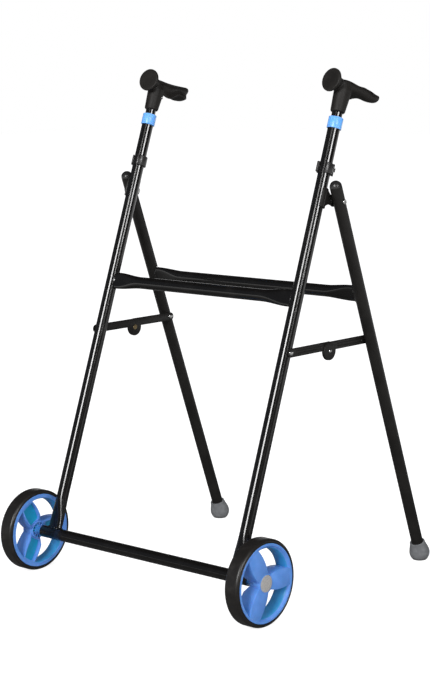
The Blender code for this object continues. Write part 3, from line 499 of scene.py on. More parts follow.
def speckled_cap():
    """Light grey plastic with darker and paler specks."""
    made = Finish("speckled grey cap", "grey_cap", 0.5, specular=0.4)
    specks = made.grain(0.0011, 4.0, 0.75)
    pale = made.mix(made.span(specks, 0.52, 0.66), (0.345, 0.335, 0.325), (0.52, 0.51, 0.49))
    made.set("Base Color", made.mix(made.span(specks, 0.34, 0.46), (0.20, 0.195, 0.19), pale))
    made.set("Roughness", 0.44 + specks * 0.12)
    made.relief(specks, 0.00006)
    return made


def plated(name, slot, dark, light, roughness):
    """Plated or turned metal with fine marks and a slightly uneven tone."""
    drift, marks = (0.003, 3.0, 0.5, 0.3, 0.7), (0.0011, 5.0, 0.7, (1.0, 1.0, 3.0))
    shine = (roughness - 0.06, 0.0, 0.14)
    return drifting(name, slot, roughness, (dark, light), drift, marks, shine, 0.00003, metallic=1.0)


# Stoved gloss black, with a little dust that takes the edge off the shine.
GLOSS = {
    "tones": ((0.0040, 0.0036, 0.0034), (0.0078, 0.0070, 0.0066)),
    "drift": (0.035, 4.0, 0.6, 0.45, 0.75), "fine": (0.0012,), "shine": (0.15, 0.04, 0.02),
}
GLOSS_BLACK = drifting("gloss black coat", "gloss_black", 0.12, **GLOSS, specular=0.60)
WELD_BLACK = drifting("gloss black over welds", "gloss_black", 0.12, **GLOSS, specular=1.0)
WELDED = [GLOSS_BLACK, WELD_BLACK]
# Satin black powder coat with a fine even grain.
SATIN_BLACK = drifting(
    "satin black coat", "satin_black", 0.42,
    tones=((0.0075, 0.0068, 0.0062), (0.0118, 0.0108, 0.0098)),
    drift=(0.05, 4.0, 0.55, 0.3, 0.7), fine=(0.0007, 3.0, 0.6), shine=(0.36, 0.05, 0.06),
    depth=0.00004, specular=0.30,
)
RIM_TONES = ((0.080, 0.225, 0.600), (0.105, 0.265, 0.680), (0.130, 0.305, 0.72))
RIM_BLUE = moulded_blue("rim blue", "blue_rim", 0.38, 0.15, *RIM_TONES)
# Darker teal copy of the rim blue for the spokes' pocket floors and the hub's slot walls: painted shade of
# the recesses.
POCKET_SHADE_TONES = ((0.004, 0.240, 0.430), (0.006, 0.280, 0.490), (0.012, 0.33, 0.54))
POCKET_SHADE_BLUE = moulded_blue("rim blue with painted pocket shade", "blue_rim", 0.42, 0.15, *POCKET_SHADE_TONES)
# Darker teal copy of the rim blue for the barrel's inner wall: painted shade inside the rim.
BARREL_SHADE_TONES = ((0.026, 0.225, 0.480), (0.042, 0.265, 0.540), (0.09, 0.33, 0.58))
BARREL_SHADE_BLUE = moulded_blue("rim blue with painted barrel shade", "blue_rim", 0.36, 0.15, *BARREL_SHADE_TONES)
COLLAR_TONES = ((0.125, 0.375, 0.850), (0.158, 0.425, 0.925), (0.22, 0.50, 0.95))
COLLAR_BLUE = moulded_blue("collar blue", "blue_collar", 0.30, 0.2, *COLLAR_TONES)
# Solid tyre: satin black, warmer and duller where dust has settled.
TYRE = drifting(
    "tyre rubber", "black_rubber", 0.42,
    tones=((0.0095, 0.0084, 0.0076), (0.0190, 0.0168, 0.0150)),
    drift=(0.012, 5.0, 0.65, 0.45, 0.8), fine=(0.0008, 3.0, 0.6), shine=(0.33, 0.14, 0.06),
    depth=0.00006, specular=0.6,
)
GRIP = soft_grip()
FOOT = foot_rubber()
CAP = speckled_cap()
# Black moulded plastic with a soft shine.
PLASTIC = drifting(
    "black clip plastic", "black_plastic", 0.3,
    tones=((0.0125, 0.0120, 0.0120), (0.0200, 0.0190, 0.0190)),
    drift=(0.009, 3.0, 0.5, 0.3, 0.7), fine=(0.0006,), shine=(0.26, 0.05, 0.06),
    depth=0.00003, specular=0.55,
)
ZINC = plated("bright zinc", "zinc", (0.50, 0.50, 0.49), (0.70, 0.70, 0.69), 0.24)
STEEL = plated("turned steel", "steel", (0.46, 0.47, 0.48), (0.60, 0.61, 0.62), 0.34)
BRASS = plated("dull brass", "dull_brass", (0.22, 0.165, 0.085), (0.36, 0.28, 0.15), 0.42)
# Blue nylon with a faint inner glow.
NYLON = drifting(
    "bush nylon", "bush_nylon", 0.45,
    tones=((0.040, 0.175, 0.470), (0.056, 0.215, 0.540)),
    drift=(0.004, 3.0, 0.5, 0.3, 0.7), fine=(0.0006,), shine=(0.40, 0.0, 0.1),
    depth=0.00003, specular=0.45, Subsurface_Weight=0.2, Subsurface_Scale=0.003,
)


# Mesh tools


def moved(bm, matrix):
    bmesh.ops.transform(bm, matrix=matrix, verts=bm.verts)
    return bm


def turned(profile, sides=TUBE_SIDES, ring=False):
    """A profile of (radius, height) points turned about local Z; a ring's profile is closed."""
    bm = bmesh.new()
    verts = [bm.verts.new((radius, 0.0, height)) for radius, height in profile]
    ends = verts[1:] + verts[:1] if ring else verts[1:]
    edges = [bm.edges.new(both) for both in zip(verts, ends)]
    circle = {"cent": (0, 0, 0), "axis": (0, 0, 1), "angle": 2 * pi}
    bmesh.ops.spin(bm, geom=verts + edges, steps=sides, use_merge=True, **circle)
    bmesh.ops.remove_doubles(bm, verts=bm.verts, dist=1e-6)
    bmesh.ops.recalc_face_normals(bm, faces=bm.faces)
    return bm


def rod(radius, low, high, sides=PIN_SIDES):
    return turned([(0, low), (radius, low), (radius, high), (0, high)], sides)


def arc(centre, radius, start, end, steps):
    """Points of (x, y) on an arc from start to end."""
    angles = [start + (end - start) * step / steps for step in range(steps + 1)]
    return [(centre[0] + radius * cos(a), centre[1] + radius * sin(a)) for a in angles]


def eased(points, steps=4):
    """A smooth run through the points, with this many steps from each to the next."""
    run = [Vector(point) for point in points]
    run = [run[0] * 2 - run[1], *run, run[-1] * 2 - run[-2]]
    smooth = []
    for a, b, c, d in zip(run, run[1:], run[2:], run[3:]):
        for step in range(steps):
            t = step / steps
            bend = b * 2 + (c - a) * t + (a * 2 - b * 5 + c * 4 - d) * t**2
            smooth.append(tuple((bend + (b * 3 - a - c * 3 + d) * t**3) / 2))
    return smooth + [tuple(points[-1])]


def shares(radius, low, height, points):
    """Points given as shares of a radius and of a height above low."""
    return [(radius * out, low + height * up) for out, up in points]


def slab(outline, low, high):
    """A flat outline of (x, y) points made into a plate from low to high."""
    bm = bmesh.new()
    face = bm.faces.new([bm.verts.new((x, y, low)) for x, y in outline])
    top = bmesh.ops.extrude_face_region(bm, geom=[face])["geom"]
    top_verts = [item for item in top if isinstance(item, bmesh.types.BMVert)]
    bmesh.ops.translate(bm, vec=(0, 0, high - low), verts=top_verts)
    bmesh.ops.recalc_face_normals(bm, faces=bm.faces)
    return bm


def block(size, centre):
    bm = bmesh.new()
    bmesh.ops.create_cube(bm, size=1.0)
    bmesh.ops.scale(bm, vec=size, verts=bm.verts)
    bmesh.ops.translate(bm, vec=centre, verts=bm.verts)
    return bm


def softened(bm, width, segments=2, sharper_than=32.0):
    """Rounds the edges that are sharper than an angle."""
    limit = radians(sharper_than)
    edges = [edge for edge in bm.edges if len(edge.link_faces) == 2 and edge.calc_face_angle() > limit]
    round_over = {"profile": 0.5, "affect": "EDGES", "clamp_overlap": True, "material": -1}
    bmesh.ops.bevel(bm, geom=edges, offset=width, segments=segments, **round_over)
    return bm


def sliced(bm, height, clear_below=False):
    """Puts a level ring of edges into a shape, and gives what was cut."""
    everything = bm.verts[:] + bm.edges[:] + bm.faces[:]
    plane = {"plane_co": (0, 0, height), "plane_no": (0, 0, 1), "clear_inner": clear_below}
    return bmesh.ops.bisect_plane(bm, geom=everything, dist=1e-6, **plane)["geom_cut"]


def mesh_of(name, bm):
    mesh = bpy.data.meshes.new(name)
    bm.to_mesh(mesh)
    bm.free()
    return mesh


def joined(*parts):
    """Several shapes as one."""
    whole = bmesh.new()
    for part in parts:
        mesh = mesh_of("part", part)
        whole.from_mesh(mesh)
        bpy.data.meshes.remove(mesh)
    return whole


def on_bench(bm):
    """A bare object that holds a shape while modifiers work on it."""
    return placed("bench", mesh_of("bench", bm))


def off_bench(holder, *others):
    """The worked shape, with the bare objects cleared away."""
    bpy.context.view_layer.update()
    seen = holder.evaluated_get(bpy.context.evaluated_depsgraph_get())
    mesh = bpy.data.meshes.new_from_object(seen)
    bm = bmesh.new()
    bm.from_mesh(mesh)
    bpy.data.meshes.remove(mesh)
    for spent in (holder, *others):
        bpy.data.objects.remove(spent)
    return bm


def cut(bm, tool):
    """The shape with a tool's space taken out of it."""
    holder, cutter = on_bench(bm), on_bench(tool)
    modifier = holder.modifiers.new("cut", "BOOLEAN")
    set_up(modifier, operation="DIFFERENCE", solver="EXACT", object=cutter)
    return off_bench(holder, cutter)


def melted(bm, grain, passes):
    """Overlapping shapes melted into one skin with soft inner corners."""
    holder = on_bench(bm)
    set_up(holder.modifiers.new("skin", "REMESH"), mode="VOXEL", voxel_size=grain)
    set_up(holder.modifiers.new("smooth", "SMOOTH"), factor=0.5, iterations=passes)
    return off_bench(holder)


BODY_OF = {
    node: body for body, nodes in frame["record"]["behaviour"]["bodies"].items() for node in nodes
}


def fitted(node, bm, finishes, side=1, sharp=32.0):
    """Puts a shape made for the left side in place of its solid, mirrored for the right side."""
    if side < 0:
        bmesh.ops.scale(bm, vec=(-1, 1, 1), verts=bm.verts)
    bmesh.ops.remove_doubles(bm, verts=bm.verts, dist=1e-7)
    bmesh.ops.recalc_face_normals(bm, faces=bm.faces)
    name = f"{node}_finished"
    made = placed(name, mesh_of(name, bm))
    for finish in finishes:
        made.data.materials.append(finish.material)
    made.data.shade_smooth()
    made.data.set_sharp_from_angle(angle=radians(sharp))
    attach(made, BODY_OF[node])
    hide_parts(node)


def pair(part, bm, finishes, sharp=32.0):
    """Fits both sides with a shape made for the left side."""
    for name, side in SIDES:
        fitted(f"{part}_{name}", bm.copy(), finishes, side, sharp)
    bm.free()


# Tubes


def press_heights(end, into, steps=12):
    """Where a pressed end needs rings, from the end inwards."""
    blend = [SQUASH_LENGTH + SQUASH_BLEND * step / steps for step in range(steps + 1)]
    return [end] + [end + into * reach for reach in blend]


def pipe(heights):
    """A closed round bar along local Z with a ring of edges at each height, ready to be pressed."""
    heights = sorted(heights)
    low, high = heights[0], heights[-1]
    bm = bmesh.new()
    bmesh.ops.create_cone(
        bm, cap_ends=True, segments=TUBE_SIDES, radius1=TUBE_R, radius2=TUBE_R, depth=high - low
    )
    bmesh.ops.translate(bm, vec=(0, 0, (low + high) / 2), verts=bm.verts)
    for height in heights[1:-1]:
        sliced(bm, height)
    return bm


def pressed(bm, ends):
    """Presses a bar's ends flat across local Y, wide along local X."""
    for vert in bm.verts:
        reach = min(abs(vert.co.z - end) for end in ends) - SQUASH_LENGTH
        part = min(max(reach / SQUASH_BLEND, 0.0), 1.0)
        amount = (1 + cos(pi * part)) / 2
        power = 2 + (SQUASH_POWER - 2) * amount
        for axis, half in ((0, SQUASH_WIDE / 2), (1, SQUASH_THIN / 2)):
            share = vert.co[axis] / TUBE_R
            size = TUBE_R + (half - TUBE_R) * amount
            vert.co[axis] = size * copysign(abs(share) ** (2 / power), share)
    return bm


def pressed_weld(away, end, steps=96):
    """A rippled weld round a pressed end, in the second finish of its piece.

    It runs where the end meets a tube across it, whose axis lies this far away.
    """
    curve = bpy.data.curves.new("weld", "CURVE")
    set_up(curve, dimensions="3D", bevel_depth=WELD_R, bevel_resolution=2)
    spline = curve.splines.new("POLY")
    spline.points.add(steps - 1)
    spline.use_cyclic_u = True
    for step, spot in enumerate(spline.points):
        angle = 2 * pi * step / steps
        x, y = [
            half * copysign(abs(share) ** (2 / SQUASH_POWER), share)
            for share, half in ((cos(angle), SQUASH_WIDE / 2), (sin(angle), SQUASH_THIN / 2))
        ]
        spot.co = (x, y, end * (away - sqrt(TUBE_R**2 - y**2)), 1.0)
        ripple = WELD_RIPPLE * sin(step * pi / 2)
        spot.radius = 1.0 + ripple + WELD_WANDER * sin(step * 0.37)
    bead = off_bench(placed("weld", curve))
    for face in bead.faces:
        face.material_index = 1
    return bead


def sleeve(bore, outer, low, high, soft):
    """A tube's profile, with soft outer edges."""
    profile = [(bore, low), (outer - soft, low), (outer, low + soft)]
    return profile + [(outer, high - soft), (outer - soft, high), (bore, high)]


def front_tubes():
    top = COLLAR_S + COLLAR_HEIGHT / 2 - COLLAR_LIP - SEAT_GAP
    foot = TUBE_R * 0.3
    tube = pressed(pipe(press_heights(foot, 1) + [top]), [foot])
    pair("front_tube", moved(joined(tube, pressed_weld(0.0, -1)), up_front(0)), WELDED)


def axle_tube():
    profile = sleeve(BORE_R, TUBE_R, -AXLE_END, AXLE_END, 0.0005)
    fitted("axle_tube", moved(turned(profile, ring=True), across(0, AXLE)), [GLOSS_BLACK])


def crossbars():
    bars = (
        ("front_crossbar", FRONT_X, on_front(CROSSBAR_S), ALONG),
        ("rear_crossbar", LEG_X, on_leg(REAR_BAR_DROP), -DOWN_LEG),
    )
    for name, half, centre, upright in bars:
        reach = half - TUBE_R * 0.5
        bar = pipe(press_heights(-reach, 1) + press_heights(reach, -1))
        whole = joined(pressed(bar, [-reach, reach]), pressed_weld(half, 1), pressed_weld(half, -1))
        fitted(name, moved(whole, frame_of(centre, OUTWARD, upright)), WELDED)


def rear_legs():
    leg_end = LEG_TO_FLOOR - FOOT_SOLE - SEAT_GAP
    profile = [(BORE_R, -LEG_RISE), (TUBE_R - TUBE_END_SOFT, -LEG_RISE)]
    profile += [(TUBE_R, TUBE_END_SOFT - LEG_RISE), (TUBE_R, leg_end), (BORE_R, leg_end)]
    pair("rear_leg", moved(turned(profile, ring=True), down_leg(0)), [SATIN_BLACK])
    plug = BORE_R - SEAT_GAP
    cap = [(0.0, -TUBE_R), *arc((0, 0), TUBE_R, -pi / 2, 0, 10)[1:]]
    cap += [(plug, 0.0), (plug, 0.009), (plug - 0.001, LEG_PLUG), (0.0, LEG_PLUG)]
    seat = down_leg(0) @ Matrix.Translation((0, 0, -LEG_RISE - SEAT_GAP))
    pair("leg_cap", moved(turned(cap, 48), seat), [PLASTIC])


def ferrules():
    top = LEG_TO_FLOOR - FOOT_HEIGHT
    bore = TUBE_R + SEAT_GAP
    floor = FOOT_HEIGHT - FOOT_SOLE
    ball = FOOT_HEIGHT * FOOT_BALL_DROP
    swell = FOOT_SWELL_R - FOOT_RIM_R
    neck = ((0.018, 0.0), (0.08, 0.05), (0.22, 0.30), (0.40, 0.74))
    skin = [(FOOT_RIM_R + swell * out, FOOT_HEIGHT * down) for down, out in neck]
    bends = [radians(degrees) for degrees in (0, 20, 38, 54, 70)]
    skin += [(FOOT_SWELL_R * cos(bend), ball + FOOT_SWELL_R * sin(bend)) for bend in bends]
    profile = [(0.0, floor), (bore, floor), (bore, FOOT_SOFT), (bore + FOOT_SOFT, 0.0)]
    profile += [(FOOT_RIM_R - FOOT_SOFT, 0.0), *eased(skin), (0.0, ball + FOOT_SWELL_R)]
    foot = moved(turned(profile), down_leg(top))
    rim = [item for item in sliced(foot, 0, True) if isinstance(item, bmesh.types.BMEdge)]
    bmesh.ops.edgenet_fill(foot, edges=rim)
    pair("ferrule", foot, [FOOT])


# Hinge


def hinges():
    outer_r = TUBE_R + SEAT_GAP + PLATE_T
    half = BRACKET_LENGTH / 2
    waist = half - WAIST_HALF
    edge = [(WAIST_T * step / 16, half - waist * sin(pi / 2 * step / 16)) for step in range(17)]
    corner = asin(WAIST_HALF / EAR_R)
    ear = arc((HINGE_T, 0), EAR_R, pi - corner, corner - pi, 32)
    root = -PLATE_T / 2
    outline = [(root, -edge[0][1]), (root, edge[0][1]), *edge, *ear]
    outline += [(t, -height) for t, height in reversed(edge)]
    plate_frame = axes_at(on_front(HINGE_S, 0, PLATE_X), BEHIND, ALONG, OUTWARD)
    head_x = LEG_X + TUBE_R + SEAT_GAP
    nut_x = PLATE_X - SEAT_GAP - NUT_T
    tip = nut_x - THREAD_PAST_NUT
    bolt = [(0, tip), (HINGE_BOLT_R - THREAD_SOFT, tip), (HINGE_BOLT_R, tip + THREAD_SOFT)]
    bolt += [(HINGE_BOLT_R, head_x), (BOLT_HEAD_R - 0.0002, head_x), (BOLT_HEAD_R, head_x + 0.0002)]
    dome = ((1, 0.5), (0.93, 0.8), (0.78, 1), (0.5, 0.96), (0.47, 0.3), (0, 0.2))
    bolt += shares(BOLT_HEAD_R, head_x, BOLT_HEAD_T, dome)
    hole = HINGE_BOLT_R + PIN_PLAY
    washer = [(hole, 0), (WASHER_R, 0), (WASHER_R, WASHER_T), (hole, WASHER_T)]
    wrap = arc((0, 0), outer_r, SADDLE_FROM, SADDLE_TO, 28)
    wrap += arc((0, 0), TUBE_R + SEAT_GAP * 0.2, SADDLE_TO, SADDLE_FROM, 28)
    saddle = moved(softened(slab(wrap, -half, half), PLATE_SOFT), up_front(HINGE_S))
    plate = moved(softened(slab(outline, 0, PLATE_T), PLATE_SOFT), plate_frame)
    pair("hinge_bracket", joined(saddle, plate), [SATIN_BLACK])
    pair("hinge_washer", moved(turned(washer, 48, ring=True), across(WASHER_X, PIVOT)), [ZINC])
    pair("hinge_bolt", moved(turned(bolt, 40), across(0, PIVOT)), [ZINC])
    nut = softened(slab(arc((0, 0), NUT_R, 0, pi * 5 / 3, 5), 0, NUT_T), NUT_SOFT, 2, 50.0)
    nut = cut(nut, rod(HINGE_BOLT_R, -NUT_T, NUT_T * 2))
    pair("hinge_nut", moved(nut, across(nut_x, PIVOT)), [ZINC])


# Brace


def link_outline(length, lobe_r):
    """A link's outline: its first pin at the origin, its far pin lower and inside a round lobe."""
    half = LINK_HEIGHT / 2
    drop = BRACE_MID_DROP
    start = atan2(half + drop, -sqrt(max(lobe_r**2 - (half + drop) ** 2, 0.0)))
    end = atan2(drop - half, -sqrt(lobe_r**2 - (drop - half) ** 2)) - 2 * pi
    near_end = arc((0, 0), half, pi * 1.5, pi * 0.5, 20)
    return near_end + arc((length, -drop), lobe_r, start, end, 44)


def link_frame(pin, x, backwards):
    """Local X runs from the pin towards the brace's middle, local Y up and local Z across the walker."""
    along = -BRACE_ALONG if backwards else BRACE_ALONG
    return axes_at((x, pin.y, pin.z), along, BRACE_UP, along.cross(BRACE_UP))


def rivet(seat, tip, head_r):
    """A domed rivet along local Z whose head starts at the seat and whose shank runs to the tip."""
    out = copysign(1, seat - tip)
    profile = [(0, tip), (RIVET_SHANK_R, tip), (RIVET_SHANK_R, seat), (head_r, seat)]
    profile += shares(head_r, seat, out * RIVET_HEAD_T, arc((0, 0), 1, 0, pi / 2, 8)[1:-1])
    return turned(profile + [(0, seat + out * RIVET_HEAD_T)], PIN_SIDES)


def braces():
    half_length = (BRACE_REAR - BRACE_FRONT).length / 2
    rear_lobe_r = LINK_HEIGHT / 2 + BRACE_MID_DROP
    links = (
        ("brace_front_link", BRACE_FRONT, FRONT_LINK_X, False, FRONT_LOBE_R),
        ("brace_rear_link", BRACE_REAR, REAR_LINK_X, True, rear_lobe_r),
    )
    front_seat, mid_seat = [x + LINK_T + SEAT_GAP for x in (FRONT_LINK_X, REAR_LINK_X)]
    rivets = (
        ("brace_front_rivet", BRACE_FRONT, front_seat, TUBE_FACE - TUBE_WALL, RIVET_HEAD_R),
        ("brace_rear_rivet", BRACE_REAR, REAR_LINK_X - SEAT_GAP, LEG_FACE + TUBE_WALL, RIVET_HEAD_R),
        ("brace_mid_rivet", BRACE_MID, mid_seat, REAR_LINK_X + SEAT_GAP, MID_HEAD_R),
    )
    flange = FRONT_LINK_X - SEAT_GAP - TAIL_FLANGE_T / 2
    tail_seat = FRONT_LINK_X - SEAT_GAP / 2
    tail_tip = FRONT_LINK_X + LINK_T - SEAT_GAP
    tail = [(0, flange), (TAIL_FLANGE_R - 0.0003, flange), (TAIL_FLANGE_R, tail_seat)]
    tail += [(RIVET_SHANK_R, tail_seat), (RIVET_SHANK_R, tail_tip), (0, tail_tip)]
    rib_from = LINK_HEIGHT / 2 + RIB_END_GAP
    for link, pin, x, backwards, lobe_r in links:
        flat = slab(link_outline(half_length, lobe_r), -LINK_T / 2, LINK_T / 2)
        rib_to = half_length - lobe_r - RIB_END_GAP
        rib = arc((rib_from, 0), RIB_WIDTH / 2, pi * 1.5, pi * 0.5, 16)
        rib += arc((rib_to, 0), RIB_WIDTH / 2, pi * 0.5, -pi * 0.5, 16)
        face = -LINK_T / 2 if backwards else LINK_T / 2
        low, high = sorted((face - copysign(RIB_DEPTH, face), face * 3))
        flat = softened(cut(flat, slab(rib, low, high)), LINK_SOFT)
        pair(link, moved(flat, link_frame(pin, x + LINK_T / 2, backwards)), [SATIN_BLACK])
    for node, pin, seat, tip, head_r in rivets:
        pair(node, moved(rivet(seat, tip, head_r), across(0, pin)), [ZINC])
    pair("brace_mid_tail", moved(turned(tail, PIN_SIDES), across(0, BRACE_MID)), [BRASS])


# Wheels


def spoke_half(radius):
    """Half the width of a spoke at a distance from the axle: widest at mid length."""
    part = (radius - HUB_R) / (RING_R_OUT - HUB_R)
    ends = SPOKE_HALF_HUB * (1 - part) + SPOKE_HALF_RING * part
    middle = (SPOKE_HALF_HUB + SPOKE_HALF_RING) / 2
    return ends + (SPOKE_HALF_MID - middle) * 4 * part * (1 - part)


def spoke_outline(start, near, far, inset, steps, end_steps):
    """A spoke's outline from near to far from the axle, this far inside the spoke's own sides."""
    radii = [near + (far - near) * step / steps for step in range(steps + 1)]
    edge = [(radius, asin((spoke_half(radius) - inset) / radius)) for radius in radii]
    last = edge[-1][1]
    end = arc((0, 0), far, start - last, start + last, end_steps)[1:-1]
    low_side, high_side = [
        [(r * cos(start + way * a), r * sin(start + way * a)) for r, a in edge] for way in (-1, 1)
    ]
    return low_side + end + high_side[::-1]


def spoke(index):
    """A broad spoke with a flat face and a hollow back between two side walls, whose floor takes the
    second finish: a darker teal, painted shade.
    """
    start = index * 2 * pi / SPOKES
    outer_r = FLANGE_R - FLANGE_FACE + TUCK
    outline = spoke_outline(start, HUB_R - TUCK, outer_r, 0.0, 12, 8)
    hollow = spoke_outline(start, HUB_R + HUB_CLEARING, RING_R_IN - 0.0010, SPOKE_WALL, 10, 6)
    low = WHEEL_IN + 0.0006
    below = low - CUT_REACH
    pocket = WHEEL_IN + SPOKE_POCKET
    bm = cut(slab(outline, low, WHEEL_OUT - SPOKE_RECESS), slab(hollow, below, pocket))
    slope_r = HUB_R + SPOKE_SLOPE
    slope_end = HUB_IN + 0.0030
    cone = [(0, below), (slope_r, below), (slope_r, low), (HUB_R - 0.002, slope_end), (0, slope_end)]
    bm = cut(bm, turned(cone, WHEEL_SIDES))
    bmesh.ops.dissolve_limit(bm, angle_limit=0.002, verts=bm.verts, edges=bm.edges)
    softened(bm, SPOKE_SOFT, 2, 50.0)
    # The pocket floors take the darker teal finish, a painted shade.
    for face in bm.faces:
        if abs(face.calc_center_median().z - pocket) < NEAR and face.normal.z < -0.9:
            face.material_index = 1
    return bm


def hoops():
    """The rim's barrel and flanges, whose inner wall takes the third finish: a darker teal, painted shade.
    """
    soft = RIM_SOFT
    face_in = FLANGE_R - FLANGE_FACE
    flange_in, flange_out = WHEEL_IN + FLANGE_T, WHEEL_OUT - FLANGE_T
    web_face = WHEEL_OUT - WEB_RECESS
    web_in = web_face - WEB_T
    hoop = [(RING_R_IN, WHEEL_IN + 0.003), (RING_R_OUT, WHEEL_IN + 0.0008)]
    hoop += [(RING_R_OUT + soft, WHEEL_IN), (FLANGE_R - soft, WHEEL_IN), (FLANGE_R, WHEEL_IN + soft)]
    hoop += [(FLANGE_R, flange_in), (SEAT_R, flange_in), (SEAT_R, flange_out), (FLANGE_R, flange_out)]
    hoop += [(FLANGE_R, WHEEL_OUT - soft), (FLANGE_R - soft, WHEEL_OUT), (face_in + soft, WHEEL_OUT)]
    hoop += [(face_in, WHEEL_OUT - soft), (face_in - 0.0010, web_face)]
    hoop += [(RING_R_OUT, web_face - 0.0012), (RING_R_IN, web_in)]
    barrel = turned(hoop, WHEEL_SIDES, ring=True)
    # The barrel's inner wall takes the darker teal finish, a painted shade.
    for face in barrel.faces:
        centre = face.calc_center_median()
        if centre.xy.length < RING_R_OUT + 0.0002 and centre.z < web_in + 0.001:
            face.material_index = 2
    return barrel


def hubs():
    """The rim's hub with its ring of slots, whose walls take the second finish, a darker teal painted
    shade, and their ribs.
    """
    slot_in, slot_out = BUSH_R + HUB_SLOT_IN, HUB_RING_R - HUB_SLOT_OUT
    slot_floor = HUB_IN + HUB_SLOT_DEPTH
    soft = 0.0004
    cap_r, cap_seat = CAP_R + SEAT_GAP, WHEEL_OUT - CAP_T - SEAT_GAP
    head_r, head_seat = AXLE_HEAD_R + AXLE_HEAD_GAP, cap_seat - SEAT_GAP - AXLE_HEAD_T
    bore = BUSH_R + SEAT_GAP
    face_out = WHEEL_OUT - 0.0002
    hub = [(bore, HUB_IN), (slot_in, HUB_IN), (slot_in, slot_floor), (slot_out, slot_floor)]
    hub += [(slot_out, HUB_IN), (HUB_RING_R - soft, HUB_IN), (HUB_RING_R, HUB_IN + soft)]
    hub += [(HUB_RING_R, HUB_IN + 0.0022), (HUB_R, HUB_IN + 0.0040)]
    hub += [(HUB_R, WHEEL_OUT - WEB_RECESS), (HUB_R - 0.0012, WHEEL_OUT - soft)]
    hub += [(HUB_R - 0.0018, face_out), (cap_r, face_out), (cap_r, cap_seat), (head_r, cap_seat)]
    hub += [(head_r, head_seat - SEAT_GAP), (bore, head_seat - SEAT_GAP)]
    boss = turned(hub, ring=True)
    # The slot walls take the darker teal finish, a painted shade.
    for face in boss.faces:
        centre = face.calc_center_median()
        between = slot_in - NEAR < centre.xy.length < slot_out + NEAR
        if between and HUB_IN + NEAR < centre.z < slot_floor + NEAR:
            face.material_index = 1
    size = (slot_out - slot_in + TUCK, HUB_SLOT_RIB, HUB_SLOT_DEPTH)
    ribs = []
    for index in range(HUB_SLOTS):
        rib = block(size, ((slot_in + slot_out) / 2, 0, HUB_IN + HUB_SLOT_DEPTH / 2 + 0.0003))
        ribs.append(moved(rib, Matrix.Rotation(pi * (2 * index + 1) / HUB_SLOTS, 4, "Z")))
    return [boss, *ribs]


def tyre_profile():
    half = TYRE_W / 2
    shoulder = TYRE_SHOULDER
    bead = half - FLANGE_T - SEAT_GAP
    seat = FLANGE_R + SEAT_GAP
    profile = [(SEAT_R + SEAT_GAP, bead), (seat, bead), (seat, half - TYRE_EDGE)]
    profile += [(seat + TYRE_EDGE, half), (seat + 0.0011, half), (seat + 0.0015, half - TYRE_EDGE)]
    centre = (WHEEL_R - shoulder, half - shoulder - 0.0003)
    profile += arc(centre, shoulder, radians(86), radians(4), 8)
    profile.append((WHEEL_R - 0.0001, half * 0.35))
    return [(r, WHEEL_X + h) for r, h in profile] + [(r, WHEEL_X - h) for r, h in profile[::-1]]


def wheels():
    # Local X points backwards, so that one spoke points straight back on both wheels.
    wheel_frame = frame_of(AXLE, OUTWARD, Vector((0.0, 1.0, 0.0)))
    cap = [(0, WHEEL_OUT - CAP_T), (CAP_R, WHEEL_OUT - CAP_T), (CAP_R, WHEEL_OUT - 0.0009)]
    cap += [(CAP_R - 0.0003, WHEEL_OUT - 0.0003), (CAP_R - 0.0010, WHEEL_OUT)]
    cap += [(CAP_R * 0.6, WHEEL_OUT), (0, WHEEL_OUT)]
    rim = joined(hoops(), *hubs(), *[spoke(index) for index in range(SPOKES)])
    pair("rim", moved(rim, wheel_frame), [RIM_BLUE, POCKET_SHADE_BLUE, BARREL_SHADE_BLUE], sharp=40.0)
    pair("tyre", moved(turned(tyre_profile(), WHEEL_SIDES, ring=True), wheel_frame), [TYRE])
    pair("hub_cap", moved(turned(cap, 56), wheel_frame), [CAP])


# Collar, clip and lock


def collars():
    low, high = -COLLAR_HEIGHT / 2, COLLAR_HEIGHT / 2
    outer, soft = COLLAR_D / 2, COLLAR_SOFT
    bore, lip_r, lip = TUBE_R + SEAT_GAP, HANDLE_R + SEAT_GAP, high - COLLAR_LIP
    profile = [(bore, low), (outer - soft, low), (outer - soft * 0.3, low + soft * 0.3)]
    profile += [(outer, low + soft), (outer, high - soft), (outer - soft * 0.3, high - soft * 0.3)]
    profile += [(outer - soft, high), (lip_r + 0.0004, high), (lip_r, high - 0.0004)]
    profile += [(lip_r, lip), (bore, lip)]
    pair("collar", moved(turned(profile, ring=True), up_front(COLLAR_S)), [COLLAR_BLUE])


